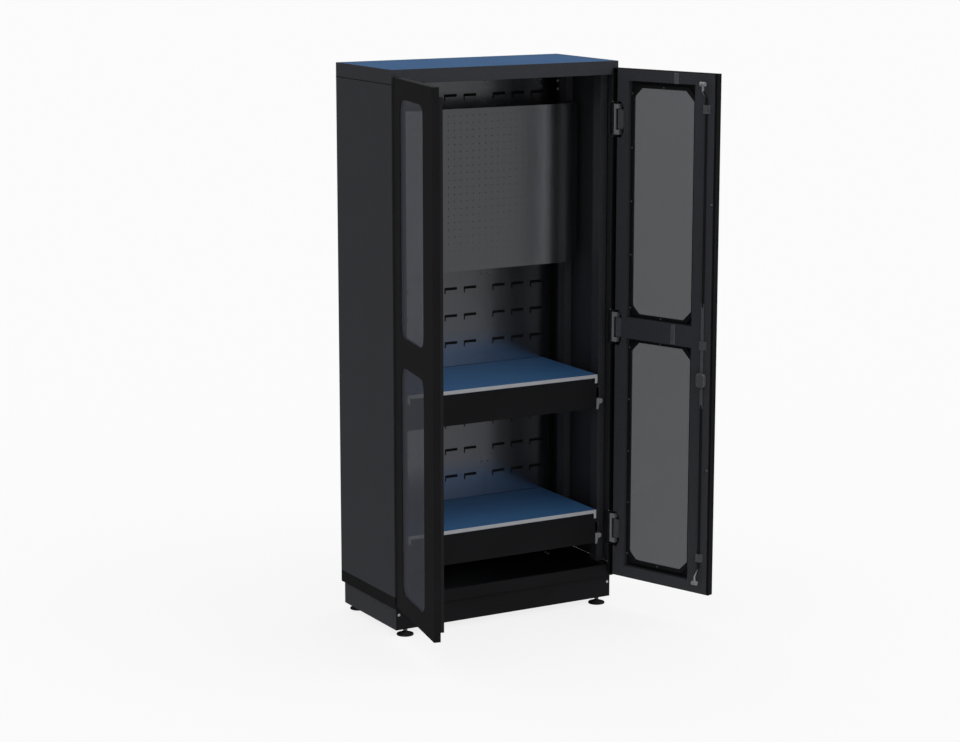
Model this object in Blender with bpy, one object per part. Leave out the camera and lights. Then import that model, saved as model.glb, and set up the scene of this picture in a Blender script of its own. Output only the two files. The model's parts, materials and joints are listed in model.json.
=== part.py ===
"""Anti-static storage cabinet with glazed doors, a tool panel and pull-out shelves.

Metres, +Z up, front towards -Y. Every shape is written in the frame of the carcass, with its
centre on the floor and both doors shut. A pivot then carries the moving pieces to their place.
"""
import math

import bmesh
import bpy
from mathutils import Vector

for leftover in list(bpy.data.objects):
    bpy.data.objects.remove(leftover, do_unlink=True)

# Clearances
SEAT = 0.0003  # between pieces that rest on each other or run in each other
TRIM_GAP = 0.001  # round the window retainers and under the nuts of the feet

# Carcass
BODY_WIDTH = 0.900
BODY_DEPTH = 0.418
BODY_HEIGHT = 1.977
SHEET = 0.0015
FRONT_RETURN = 0.024
REAR_RETURN = 0.036
BASE_HEIGHT = 0.0425
CAP_HEIGHT = 0.048
RAIL_LIP = 0.011  # inward lip that the lock rollers catch behind
SILL_PAST_POST = 0.004  # inner face of a base sill inside the posts that it carries
MAT = 0.003
MAT_RIM = 0.004
MAT_CORNER = 0.006

# Plinth and feet
FOOT_LIFT = 0.025  # floor to the underside of the plinth
PLINTH_HEIGHT = 0.080
PLINTH_INSET = 0.009
PLINTH_SHEET = 0.002
PLINTH_FLANGE = 0.040
FOOT_INSET_X = 0.054
FOOT_INSET_Y = 0.027
PAD_RADIUS = 0.030
PAD_RIM = 0.005
PAD_NECK = 0.012
STUD_RADIUS = 0.005
STUD_RISE = 0.035  # stud above the underside of the plinth
NUT_RADIUS = 0.0085
NUT_HEIGHT = 0.008

# Posts, back panels and tool panel
POST_WIDTH = 0.028
POST_DEPTH = 0.048
POST_SHEET = 0.002
POST_FROM_SKIN = 0.0065
FRONT_POST_SET = 0.057  # body front to the front of the front posts
REAR_POST_SET = 0.078  # body rear to the rear of the rear posts
BACK_SET = 0.009
BACK_MARGIN = 0.030  # body side to the outer back panel
PANEL_COUNT = 3
SLOT_WIDTH = 0.052
SLOT_HEIGHT = 0.010
SLOT_LEG_WIDTH = 0.005
SLOT_LEG_DROP = 0.013
SLOT_PITCH_X = 0.080
SLOT_PITCH_Z = 0.100
SLOT_COLUMNS = 3
SLOT_FROM_CAP = 0.086
TOOL_HEIGHT = 0.573
TOOL_FROM_CAP = 0.1135
TOOL_STAND = 0.095  # rear post to the front of the tool panel
TOOL_INSET = 0.011  # sides of the tool panel inside the posts
TOOL_LAP = 0.020  # how far the panel's flange laps over the post

# Doors
DOOR_THICK = 0.024
DOOR_GAP = 0.006  # body front to the inner face of a shut door
DOOR_SIDE_INSET = 0.001
DOOR_MEET_GAP = 0.003
DOOR_LAP_BASE = 0.0295  # how far a shut door covers the base
DOOR_LAP_CAP = 0.025  # and the cap
LEFT_OPEN = math.radians(101.4)
RIGHT_OPEN = math.radians(109.6)
WINDOW_FROM_HINGE = 0.082
WINDOW_WIDTH = 0.260
WINDOW_MARGIN = 0.066
WINDOW_BAND = 0.102  # between the upper and the lower window
WINDOW_CHAMFER = 0.035  # corners of the panes and their retainers
WINDOW_CORNER = 0.040  # round corners of the windows in the pans
PANE = 0.004
PANE_LAP = 0.010
RETAINER_WIDTH = 0.012
RETAINER = 0.004
HINGE_STRIP = 0.020  # open strip of the pan along the hinges
NOTCH_REACH = 0.048  # hinge edge to the far side of the notch at each hinge
NOTCH_CLEAR = 0.004  # hinge lugs to the ends of their notch
NOTCH_CHAMFER = (0.012, 0.020)
LOCK_STILE_SET = 0.010  # free edge of the door to its lock stile
END_RAIL = 0.040

# Hinges
HINGE_INSET = 0.012  # axis to the hinge edge and to the outer face of the door
HINGE_FROM_BOTTOM = 0.172  # door's lower end to the low hinge
HINGE_FROM_TOP = 0.180
CASTING_HEIGHT = 0.107
CASTING_ARM = 0.016
CASTING_BAR = 0.0077
CASTING_REACH = 0.024
CASTING_DEPTH = 0.018
LUG = 0.006
LUG_BOSS = 0.006
LUG_ROOT = 0.009
LUG_CLEAR = 0.0015
LUG_NECK = 0.0045  # ahead of the body front, where the lug leaves its root
BRACKET_PLATE = 0.004
PIN_RADIUS = 0.004
PIN_HEAD_RADIUS = 0.0055
PIN_HEAD = 0.002

# Lock on the right door
LOCK_FROM_EDGE = 0.0415  # free edge of the door to the line of the rods
LOCK_HEIGHT = 0.890
CASE_WIDTH = 0.037
CASE_HEIGHT = 0.052
CASE_DEPTH = 0.016
CASE_CORNER = 0.012
ROD_RADIUS = 0.004
ROD_STAND = 0.0045  # inner face of the door to the axis of the rods
BAR_WIDTH = 0.012
BAR_THICK = 0.003
UPPER_BAR = 0.270  # spindle to the far end of each flat bar
LOWER_BAR = 0.100
BAR_FROM_SPINDLE = 0.006
ROLLER_RADIUS = 0.008
ROLLER_WIDTH = 0.006
ROLLER_CLEAR = 0.001  # roller to the lip that it catches behind
ROLLER_REST_GAP = 0.002  # unlocked upper roller to the cap
LOWER_ROLLER_REST = 0.0075  # unlocked lower roller to the base
ROD_BEND = 0.028
ROD_TIP = 0.022
GUIDE_FROM_BOTTOM = 0.132  # door's lower end to the low guide
GUIDE_FROM_LOCK = 0.122
GUIDE_FROM_TOP = 0.122
GUIDE_LENGTH = 0.030
GUIDE_WING = 0.006
GUIDE_SHEET = 0.002
ESCUTCHEON_WIDTH = 0.040
ESCUTCHEON_HEIGHT = 0.090
ESCUTCHEON = 0.008
SPINDLE_RADIUS = 0.0048
HANDLE_NECK = 0.009
HANDLE_STAND = 0.030
LEVER_LENGTH = 0.120
LEVER_HEIGHT = 0.020
LEVER_THICK = 0.012
LEVER_CORNER = 0.009
LEVER_SUNK = 0.003  # neck into the lever
STRIP_WIDTH = 0.026
STRIP_RISE = 0.012
STRIP_FROM_END = 0.032

# Pull-out shelves
SHELF_TOPS = {"upper": 0.856, "lower": 0.355}
BOARD = 0.020
BOARD_FROM_BACK = 0.004  # rear of the boards to the back panels
SHELF_FROM_FRONT = 0.019  # body front to the front of the boards
FASCIA_SET = 0.003
FRAME_HEIGHT = 0.105
EDGE_HEIGHT = 0.013
EAR_WIDTH = 0.010
EAR_HEIGHT = 0.032
RUNNER_SPACE = 0.028  # post to the shelf, on each side
RUNNER_HEIGHT = 0.045
RUNNER_FROM_REAR = 0.016  # rear of the runners to the rear of the boards
RUNNER_SET = 0.027  # fascia to the front of the runners
RUNNER_SHEET = 0.0013
RAIL_DEPTH = 0.0113
MIDDLE_DEPTH = 0.0171
LATCH_HEIGHT = 0.040
LATCH_STEM = 0.0077
LATCH_BULB = 0.010
LATCH_BULB_OUT = 0.016
LATCH_THICK = 0.006
LATCH_DROP = 0.004  # latch below the frame
LATCH_PIVOT_RISE = 0.002

# Facets of round shapes
ROUND = 12
PAD_SIDES = 20
ARC_STEPS = 3
WINDOW_ARC_STEPS = 6
SHARP_EDGE = math.radians(35)

# Places that follow from the sizes above
half_width = BODY_WIDTH / 2
half_depth = BODY_DEPTH / 2
front = -half_depth
plinth_top = FOOT_LIFT + PLINTH_HEIGHT
base_top = plinth_top + BASE_HEIGHT
base_floor = plinth_top + SEAT + SHEET
cap_bottom = BODY_HEIGHT - CAP_HEIGHT
post_out = half_width - SHEET - POST_FROM_SKIN
post_in = post_out - POST_WIDTH
sill_in = post_in - SILL_PAST_POST
front_post = front + FRONT_POST_SET
rear_post = half_depth - REAR_POST_SET - POST_DEPTH
door_edge = half_width - DOOR_SIDE_INSET
door_width = door_edge - DOOR_MEET_GAP / 2
door_face = front - DOOR_GAP - DOOR_THICK
door_bottom = base_top - DOOR_LAP_BASE
door_top = cap_bottom + DOOR_LAP_CAP
hinge_x = door_edge - HINGE_INSET
hinge_y = door_face + HINGE_INSET
low_hinge = door_bottom + HINGE_FROM_BOTTOM
high_hinge = door_top - HINGE_FROM_TOP
hinge_heights = {"low": low_hinge, "middle": (low_hinge + high_hinge) / 2, "high": high_hinge}
casting_half = CASTING_HEIGHT / 2
lug_low = casting_half + SEAT
lug_high = lug_low + LUG
window_height = (door_top - door_bottom - 2 * WINDOW_MARGIN - WINDOW_BAND) / 2
window_bottoms = {
    "lower": door_bottom + WINDOW_MARGIN,
    "upper": door_bottom + WINDOW_MARGIN + window_height + WINDOW_BAND,
}
window_far = WINDOW_FROM_HINGE + WINDOW_WIDTH
rod_s = door_width - LOCK_FROM_EDGE
rod_n = DOOR_THICK + ROD_STAND
roller_n = front + RAIL_LIP + ROLLER_CLEAR + ROLLER_RADIUS - door_face
shelf_half = post_in - RUNNER_SPACE
board_front = front + SHELF_FROM_FRONT
fascia = board_front + FASCIA_SET
back_face = half_depth - BACK_SET
board_rear = back_face - BOARD_FROM_BACK
runner_front = fascia + RUNNER_SET
runner_rear = board_rear - RUNNER_FROM_REAR
rail_web = post_in + POST_SHEET / 2

FINISHES = {
    "black_paint": ((0.012, 0.012, 0.014), 0.45, 0.0),
    "grey_paint": ((0.030, 0.032, 0.036), 0.55, 0.0),
    "panel_paint": ((0.110, 0.115, 0.125), 0.35, 0.6),
    "blue_mat": ((0.030, 0.130, 0.300), 0.60, 0.0),
    "aluminium": ((0.750, 0.760, 0.780), 0.30, 1.0),
    "steel": ((0.450, 0.450, 0.470), 0.35, 1.0),
    "chrome": ((0.800, 0.800, 0.820), 0.12, 1.0),
    "smoked_glazing": ((0.060, 0.062, 0.068), 0.08, 0.0),
    "light_plastic": ((0.600, 0.600, 0.620), 0.40, 0.0),
    "black_rubber": ((0.015, 0.015, 0.015), 0.80, 0.0),
}


# Shapes

def lay(u, v, t, axis):
    """Put plane coordinates u, v and a height t along the named axis into x, y, z."""
    return {"X": (t, u, v), "Y": (u, t, v), "Z": (u, v, t)}[axis]


def prism(shape, outline, axis, low, high):
    """Extrude a plane outline along an axis."""
    floor = shape.faces.new([shape.verts.new(lay(u, v, low, axis)) for u, v in outline])
    grown = bmesh.ops.extrude_face_region(shape, geom=[floor])["geom"]
    risen = [item for item in grown if isinstance(item, bmesh.types.BMVert)]
    bmesh.ops.translate(shape, verts=risen, vec=lay(0, 0, high - low, axis))


def box(shape, low, high):
    """Add a box between two corners, given in any order along each axis."""
    (x0, y0, z0), (x1, y1, z1) = low, high
    prism(shape, [(x0, y0), (x1, y0), (x1, y1), (x0, y1)], "Z", min(z0, z1), max(z0, z1))


def arc(u, v, radius, start, end, steps):
    """Points of an arc, with its angles in degrees."""
    angles = [math.radians(start + (end - start) * step / steps) for step in range(steps + 1)]
    return [(u + radius * math.cos(angle), v + radius * math.sin(angle)) for angle in angles]


def circle(u, v, radius, sides):
    return arc(u, v, radius, 0, 360, sides)[:-1]


def rounded(u0, u1, v0, v1, radius, steps=ARC_STEPS):
    """Rectangle with round corners."""
    corners = [(u1, v1, 0), (u0, v1, 90), (u0, v0, 180), (u1, v0, 270)]
    points = []
    for u, v, start in corners:
        inner_u = u - math.copysign(radius, u - (u0 + u1) / 2)
        inner_v = v - math.copysign(radius, v - (v0 + v1) / 2)
        points += arc(inner_u, inner_v, radius, start, start + 90, steps)
    return points


def octagon(u0, u1, v0, v1, chamfer):
    """Rectangle with chamfered corners."""
    return [
        (u0 + chamfer, v0), (u1 - chamfer, v0), (u1, v0 + chamfer), (u1, v1 - chamfer),
        (u1 - chamfer, v1), (u0 + chamfer, v1), (u0, v1 - chamfer), (u0, v0 + chamfer),
    ]


def frame_ring(shape, outer, inner, axis, low, high):
    """Closed ring between two outlines with as many points."""
    loops = []
    for outline, height in ((outer, low), (inner, low), (inner, high), (outer, high)):
        loops.append([shape.verts.new(lay(u, v, height, axis)) for u, v in outline])
    count = len(outer)
    for loop, following in zip(loops, loops[1:] + loops[:1]):
        for index in range(count):
            after = (index + 1) % count
            shape.faces.new([loop[index], loop[after], following[after], following[index]])


def turned(shape, profile, centre, axis, sides):
    """Turn a profile of (radius, height) points, from axis to axis, about a line through centre."""
    cx, cy, cz = centre
    u0, v0, t0 = {"X": (cy, cz, cx), "Y": (cx, cz, cy), "Z": (cx, cy, cz)}[axis]
    rings = []
    for radius, height in profile:
        points = circle(u0, v0, radius, sides) if radius else [(u0, v0)]
        rings.append([shape.verts.new(lay(u, v, t0 + height, axis)) for u, v in points])
    for lower, upper in zip(rings, rings[1:]):
        for index in range(sides):
            after = (index + 1) % sides
            corners = [lower[index % len(lower)], lower[after % len(lower)]]
            corners += [upper[after % len(upper)], upper[index % len(upper)]]
            shape.faces.new(list(dict.fromkeys(corners)))


def round_rod(shape, path, radius, sides):
    """Sweep a circle along points of one upright plane, square to X."""
    rings = []
    for index, point in enumerate(path):
        before = Vector(path[max(index - 1, 0)])
        after = Vector(path[min(index + 1, len(path) - 1)])
        along = (after - before).normalized()
        across = Vector((1, 0, 0))
        beside = along.cross(across)
        ring = []
        for u, v in circle(0, 0, radius, sides):
            ring.append(shape.verts.new(Vector(point) + across * u + beside * v))
        rings.append(ring)
    for lower, upper in zip(rings, rings[1:]):
        for index in range(sides):
            after = (index + 1) % sides
            shape.faces.new([lower[index], lower[after], upper[after], upper[index]])
    shape.faces.new(rings[0])
    shape.faces.new(rings[-1])


def channel(web, tip, low, high, gauge):
    """C-section outline: its web stands at one u and its flanges reach to another."""
    inner = web + math.copysign(gauge, tip - web)
    return [
        (web, low), (tip, low), (tip, low + gauge), (inner, low + gauge),
        (inner, high - gauge), (tip, high - gauge), (tip, high), (web, high),
    ]


# Objects

pieces = []


def pivot(name, home, parent=None, turn=0.0):
    """An empty on a joint's axis. Its home is its place in the carcass, doors shut."""
    empty = bpy.data.objects.new(name, None)
    bpy.context.scene.collection.objects.link(empty)
    empty["home"] = home
    empty.parent = parent
    empty.location = Vector(home) - Vector(parent["home"] if parent else (0, 0, 0))
    empty.rotation_euler.z = turn
    return empty


def finish_material(name, finish):
    colour, roughness, metallic = FINISHES[finish]
    material = bpy.data.materials.new(f"{name}_{finish}")
    material.use_nodes = True
    shader = material.node_tree.nodes["Principled BSDF"]
    shader.inputs["Base Color"].default_value = (*colour, 1.0)
    shader.inputs["Roughness"].default_value = roughness
    shader.inputs["Metallic"].default_value = metallic
    return material


def mesh_object(name, shape, parent):
    """Give a shape its mesh, faces outwards, at home under its pivot."""
    bmesh.ops.recalc_face_normals(shape, faces=shape.faces)
    bmesh.ops.translate(shape, verts=shape.verts, vec=-Vector(parent["home"]))
    mesh = bpy.data.meshes.new(name)
    shape.to_mesh(mesh)
    shape.free()
    mesh.shade_smooth()
    mesh.set_sharp_from_angle(angle=SHARP_EDGE)
    item = bpy.data.objects.new(name, mesh)
    bpy.context.scene.collection.objects.link(item)
    item.parent = parent
    return item


def piece(name, shape, finish, parent):
    """One named piece of the cabinet with its own material."""
    item = mesh_object(name, shape, parent)
    item.data.materials.append(finish_material(name, finish))
    pieces.append(item)
    return item


def combine(item, suffix, shape, operation="DIFFERENCE"):
    """Cut a shape out of a piece, or join it on."""
    tool = mesh_object(f"{item.name}_{suffix}", shape, item.parent)
    tool.hide_render = True
    tool.display_type = "WIRE"
    change = item.modifiers.new(suffix, "BOOLEAN")
    change.operation = operation
    change.solver = "EXACT"
    change.object = tool


def boxes(*corners):
    """A shape of separate boxes."""
    shape = bmesh.new()
    for low, high in corners:
        box(shape, low, high)
    return shape


def prisms(axis, *runs):
    """A shape of separate prisms along one axis, each an outline with its two ends."""
    shape = bmesh.new()
    for outline, low, high in runs:
        prism(shape, outline, axis, low, high)
    return shape


def named_sides():
    return (("left", -1), ("right", 1))


# Carcass

def build_plinth(parent):
    out_x = half_width - PLINTH_INSET
    out_y = half_depth - PLINTH_INSET
    in_x = out_x - PLINTH_SHEET
    in_y = out_y - PLINTH_SHEET
    over = PLINTH_SHEET
    ring = piece("plinth_frame", boxes(((-out_x, -out_y, FOOT_LIFT), (out_x, out_y, plinth_top))),
                 "grey_paint", parent)
    inside_low = FOOT_LIFT + PLINTH_SHEET
    combine(ring, "inside", boxes(((-in_x, -in_y, inside_low), (in_x, in_y, plinth_top + over))))
    flange_x = in_x - PLINTH_FLANGE
    flange_y = in_y - PLINTH_FLANGE
    way = boxes(((-flange_x, -flange_y, FOOT_LIFT - over), (flange_x, flange_y, plinth_top)))
    for x, y in foot_places():
        hole = circle(x, y, STUD_RADIUS + SEAT, ROUND)
        prism(way, hole, "Z", FOOT_LIFT - over, inside_low + over)
    combine(ring, "underside", way)


def foot_places():
    x = half_width - FOOT_INSET_X
    y = half_depth - FOOT_INSET_Y
    return [(sx * x, sy * y) for sy in (-1, 1) for sx in (-1, 1)]


def build_feet(parent):
    """Levelling feet: a pad moulded on its stud, with the nut that the plinth rests on."""
    nut_top = FOOT_LIFT - SEAT
    nut_low = nut_top - NUT_HEIGHT
    stud_top = FOOT_LIFT + STUD_RISE
    foot = [
        (0, 0), (PAD_RADIUS, 0), (PAD_RADIUS, PAD_RIM), (PAD_NECK, (PAD_RIM + nut_low) / 2),
        (PAD_NECK, nut_low - TRIM_GAP), (STUD_RADIUS, nut_low - TRIM_GAP), (STUD_RADIUS, nut_low),
        (NUT_RADIUS, nut_low), (NUT_RADIUS, nut_top), (STUD_RADIUS, nut_top),
        (STUD_RADIUS, stud_top), (0, stud_top),
    ]
    labels = ("front_left", "front_right", "rear_left", "rear_right")
    for label, (x, y) in zip(labels, foot_places()):
        axis = pivot(f"foot_axis_{label}", (x, y, 0), parent)
        shape = bmesh.new()
        turned(shape, foot, (x, y, 0), "Z", PAD_SIDES)
        piece(f"levelling_foot_{label}", shape, "black_rubber", axis)


def build_base(parent):
    """Tray between two hollow sills, open below, that carry the sides and the posts."""
    low = plinth_top + SEAT
    wall_x = half_width - SHEET
    wall_y = half_depth - SHEET
    whole = boxes(((-half_width, -half_depth, low), (half_width, half_depth, base_top)))
    tray = piece("base_tray", whole, "black_paint", parent)
    lip_under = base_top - SHEET
    combine(tray, "inside", boxes(((-sill_in, -wall_y, base_floor), (sill_in, wall_y, lip_under))))
    mouth = ((-sill_in, front + RAIL_LIP, lip_under - SHEET / 2), (sill_in, wall_y, base_top + SHEET))
    combine(tray, "mouth", boxes(mouth))
    sill_wall = sill_in + SHEET
    hollows = []
    for _, side in named_sides():
        hollows.append(((side * sill_wall, -wall_y, low - SHEET), (side * wall_x, wall_y, lip_under)))
    combine(tray, "sills", boxes(*hollows))


def build_cap(parent):
    wall_x = half_width - SHEET
    wall_y = half_depth - SHEET
    deck_top = BODY_HEIGHT - MAT - SEAT
    deck_under = deck_top - SHEET
    whole = boxes(((-half_width, -half_depth, cap_bottom), (half_width, half_depth, BODY_HEIGHT)))
    cap = piece("top_cap", whole, "grey_paint", parent)
    lip_top = cap_bottom + SHEET
    combine(cap, "inside", boxes(((-wall_x, -wall_y, lip_top), (wall_x, wall_y, deck_under))))
    lip_x = half_width - RAIL_LIP
    lip_y = half_depth - RAIL_LIP
    combine(cap, "mouth", boxes(((-lip_x, -lip_y, cap_bottom - SHEET), (lip_x, lip_y, lip_top + SHEET / 2))))
    mat_x = half_width - MAT_RIM
    mat_y = half_depth - MAT_RIM
    recess = rounded(-mat_x, mat_x, -mat_y, mat_y, MAT_CORNER)
    combine(cap, "recess", prisms("Z", (recess, deck_top, BODY_HEIGHT + SHEET)))
    mat = rounded(SEAT - mat_x, mat_x - SEAT, SEAT - mat_y, mat_y - SEAT, MAT_CORNER)
    piece("top_mat", prisms("Z", (mat, deck_top + SEAT, BODY_HEIGHT)), "blue_mat", parent)


def build_sides(parent):
    low = base_top + SEAT
    high = cap_bottom - SEAT
    for label, side in named_sides():
        out = side * half_width
        skin = side * (half_width - SHEET)
        front_edge = side * (half_width - FRONT_RETURN)
        rear_edge = side * (half_width - REAR_RETURN)
        outline = [
            (out, front), (front_edge, front), (front_edge, front + SHEET), (skin, front + SHEET),
            (skin, half_depth - SHEET), (rear_edge, half_depth - SHEET),
            (rear_edge, half_depth), (out, half_depth),
        ]
        piece(f"side_panel_{label}", prisms("Z", (outline, low, high)), "grey_paint", parent)


def slot_outline(x, z):
    """L-shaped hook slot about the middle of its bar."""
    left = x - SLOT_WIDTH / 2
    right = x + SLOT_WIDTH / 2
    top = z + SLOT_HEIGHT / 2
    under = z - SLOT_HEIGHT / 2
    leg = left + SLOT_LEG_WIDTH
    drop = under - SLOT_LEG_DROP
    return [(left, top), (left, drop), (leg, drop), (leg, under), (right, under), (right, top)]


def build_back(parent):
    """Slotted panels, and the sheet that closes the body behind them."""
    low = base_top + SEAT
    high = cap_bottom - SEAT
    rear_x = half_width - REAR_RETURN - SEAT
    closing = boxes(((-rear_x, half_depth - SHEET, low), (rear_x, half_depth, high)))
    piece("rear_sheet", closing, "grey_paint", parent)
    face = back_face
    rear = half_depth - SHEET - SEAT
    width = (BODY_WIDTH - 2 * BACK_MARGIN) / PANEL_COUNT
    rows = int((cap_bottom - SLOT_FROM_CAP - base_top) / SLOT_PITCH_Z) + 1
    for index, label in enumerate(("left", "middle", "right")):
        centre = (index - (PANEL_COUNT - 1) / 2) * width
        reach = width / 2 - SEAT
        outline = [
            (centre - reach, face), (centre + reach, face), (centre + reach, rear),
            (centre + reach - SHEET, rear), (centre + reach - SHEET, face + SHEET),
            (centre - reach + SHEET, face + SHEET), (centre - reach + SHEET, rear), (centre - reach, rear),
        ]
        panel = piece(f"back_panel_{label}", prisms("Z", (outline, low, high)), "panel_paint", parent)
        slots = bmesh.new()
        for column in range(SLOT_COLUMNS):
            x = centre + (column - (SLOT_COLUMNS - 1) / 2) * SLOT_PITCH_X
            for row in range(rows):
                z = cap_bottom - SLOT_FROM_CAP - row * SLOT_PITCH_Z
                prism(slots, slot_outline(x, z), "Y", face - SHEET, face + 2 * SHEET)
        combine(panel, "slots", slots)


def build_runner_frames(rail_heights, parent):
    """Welded ladder on each side: two posts, with the fixed runner rails across them."""
    low = base_top + SEAT
    high = cap_bottom - SEAT
    for label, side in named_sides():
        posts = []
        for y in (front_post, rear_post):
            outline = channel(side * post_in, side * post_out, y, y + POST_DEPTH, POST_SHEET)
            posts.append((outline, low, high))
        ladder = piece(f"runner_frame_{label}", prisms("Z", *posts), "grey_paint", parent)
        rails = []
        for z in rail_heights:
            outline = runner_outline(side, rail_web, rail_web - RAIL_DEPTH, z, RUNNER_HEIGHT)
            rails.append((outline, runner_front, runner_rear))
        combine(ladder, "rails", prisms("Y", *rails), "UNION")


def build_tool_panel(parent):
    """Panel that stands off the rear posts on its folded sides, with a flange on each post."""
    half = post_in - TOOL_INSET
    flange = post_in + TOOL_LAP
    face = rear_post - TOOL_STAND
    rear = rear_post - SEAT
    high = cap_bottom - TOOL_FROM_CAP
    low = high - TOOL_HEIGHT
    outline = [
        (-half, face), (half, face), (half, rear - SHEET), (flange, rear - SHEET), (flange, rear),
        (half - SHEET, rear), (half - SHEET, face + SHEET), (SHEET - half, face + SHEET),
        (SHEET - half, rear), (-flange, rear), (-flange, rear - SHEET), (-half, rear - SHEET),
    ]
    piece("tool_panel", prisms("Z", (outline, low, high)), "panel_paint", parent)


# Hinges

def bracket_outline(side):
    """Plan of a hinge bracket: its plate behind the front return, and its lug out to the axis."""
    plate_front = front + SHEET + SEAT
    plate_back = plate_front + BRACKET_PLATE
    edge = half_width - FRONT_RETURN
    plate_out = half_width - 2 * SHEET
    root = edge - LUG_ROOT
    ahead = front - 2 * SEAT
    boss = arc(hinge_x, hinge_y, LUG_BOSS, 180, 405, 6)
    points = [
        (plate_out, plate_back), (root, plate_back), (root, front - DOOR_GAP / 2),
        (edge - SHEET / 2, front - LUG_NECK), *boss, (edge + LUG_ROOT / 2, ahead),
        (edge - SEAT, ahead), (edge - SEAT, plate_front), (plate_out, plate_front),
    ]
    return [(side * x, y) for x, y in points]


def build_brackets(parent):
    """Six brackets, each with its pin pressed into its two lugs."""
    head_low = lug_high + SEAT
    pin = [
        (0, -lug_high - SEAT), (PIN_RADIUS, -lug_high - SEAT), (PIN_RADIUS, head_low),
        (PIN_HEAD_RADIUS, head_low), (PIN_HEAD_RADIUS, head_low + PIN_HEAD), (0, head_low + PIN_HEAD),
    ]
    thinned = front + SHEET + 2 * SEAT
    for label, side in named_sides():
        near = side * (half_width - FRONT_RETURN - 2 * LUG_ROOT)
        for place, z in hinge_heights.items():
            run = prisms("Z", (bracket_outline(side), z - lug_high, z + lug_high))
            bracket = piece(f"hinge_bracket_{label}_{place}", run, "black_paint", parent)
            gap = boxes(((near, door_face, z - lug_low), (side * BODY_WIDTH, thinned, z + lug_low)))
            combine(bracket, "between_lugs", gap)
            shape = bmesh.new()
            turned(shape, pin, (side * hinge_x, hinge_y, z), "Z", ROUND)
            combine(bracket, "pin", shape, "UNION")


# Doors. In a door, s runs from the hinge edge to the free edge and n from the outer face inwards.

def door_x(side, s):
    return side * (door_edge - s)


def door_y(n):
    return door_face + n


def door_box(side, s_span, n_span, z_span):
    low = (door_x(side, s_span[0]), door_y(n_span[0]), z_span[0])
    high = (door_x(side, s_span[1]), door_y(n_span[1]), z_span[1])
    return low, high


def window_span(side, bottom, grow):
    """Edges of a window in x and z, grown all round."""
    low, high = sorted((door_x(side, WINDOW_FROM_HINGE - grow), door_x(side, window_far + grow)))
    return low, high, bottom - grow, bottom + window_height + grow


def pane_outline(side, bottom, grow):
    return octagon(*window_span(side, bottom, grow), WINDOW_CHAMFER)


def build_pan(label, side, axis):
    whole = door_box(side, (0, door_width), (0, DOOR_THICK), (door_bottom, door_top))
    pan = piece(f"door_pan_{label}", boxes(whole), "black_paint", axis)
    hollow = door_box(side, (SHEET, door_width - SHEET), (SHEET, 2 * DOOR_THICK),
                      (door_bottom + SHEET, door_top - SHEET))
    combine(pan, "hollow", boxes(hollow))
    openings = bmesh.new()
    for bottom in window_bottoms.values():
        window = rounded(*window_span(side, bottom, 0), WINDOW_CORNER, WINDOW_ARC_STEPS)
        prism(openings, window, "Y", door_y(-SHEET), door_y(2 * SHEET))
    for z in hinge_heights.values():
        for lug in (z - (lug_low + lug_high) / 2, z + (lug_low + lug_high) / 2):
            span = (lug - LUG / 2 - LUG_CLEAR, lug + LUG / 2 + LUG_CLEAR)
            box(openings, *door_box(side, (-SHEET, 2 * SHEET), (SHEET, 2 * DOOR_THICK), span))
    if side > 0:
        hole = circle(door_x(side, rod_s), LOCK_HEIGHT, SPINDLE_RADIUS + TRIM_GAP, ROUND)
        prism(openings, hole, "Y", door_y(-SHEET), door_y(2 * SHEET))
    combine(pan, "openings", openings)


def build_door_frame(label, side, axis):
    """Welded channels that stiffen the door, open towards its skin."""
    seat = SHEET + SEAT
    stile_in = WINDOW_FROM_HINGE - RETAINER_WIDTH - TRIM_GAP
    lock_in = window_far + RETAINER_WIDTH + TRIM_GAP
    lock_out = door_width - LOCK_STILE_SET
    low = door_bottom + seat
    high = door_top - seat
    stiles = bmesh.new()
    for s0, s1 in ((HINGE_STRIP, stile_in), (lock_in, lock_out)):
        u0, u1 = sorted((door_x(side, s0), door_x(side, s1)))
        turned_web = [(u, v) for v, u in channel(door_y(DOOR_THICK), door_y(seat), u0, u1, SHEET)]
        prism(stiles, turned_web, "Z", low, high)
    frame = piece(f"door_frame_{label}", stiles, "grey_paint", axis)
    rails = bmesh.new()
    weld = SHEET / 2
    x0, x1 = sorted((door_x(side, stile_in - weld), door_x(side, lock_in + weld)))
    band = window_bottoms["lower"] + window_height + RETAINER_WIDTH + TRIM_GAP
    band_top = window_bottoms["upper"] - RETAINER_WIDTH - TRIM_GAP
    for z0, z1 in ((low, low + END_RAIL), (band, band_top), (high - END_RAIL, high)):
        prism(rails, channel(door_y(DOOR_THICK), door_y(seat), z0, z1, SHEET), "X", x0, x1)
    combine(frame, "rails", rails, "UNION")
    notches = bmesh.new()
    for z in hinge_heights.values():
        prism(notches, notch_outline(side, z), "Y", door_y(0), door_y(DOOR_THICK + SHEET))
    combine(frame, "notches", notches)
    if side > 0:
        combine(frame, "guides", rod_guides(door_x(side, rod_s)), "UNION")
        hole = circle(door_x(side, rod_s), LOCK_HEIGHT, SPINDLE_RADIUS + TRIM_GAP, ROUND)
        through = (hole, door_y(DOOR_THICK - 2 * SHEET), door_y(DOOR_THICK + SHEET))
        combine(frame, "spindle", prisms("Y", through))


def notch_outline(side, z):
    """Notch of the hinge stile round a hinge, with chamfered far corners."""
    half = lug_high + NOTCH_CLEAR
    chamfer_s, chamfer_z = NOTCH_CHAMFER
    near = door_x(side, HINGE_STRIP - SHEET)
    shoulder = door_x(side, NOTCH_REACH - chamfer_s)
    far = door_x(side, NOTCH_REACH)
    return [
        (near, z - half), (shoulder, z - half), (far, z - half + chamfer_z),
        (far, z + half - chamfer_z), (shoulder, z + half), (near, z + half),
    ]


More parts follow.
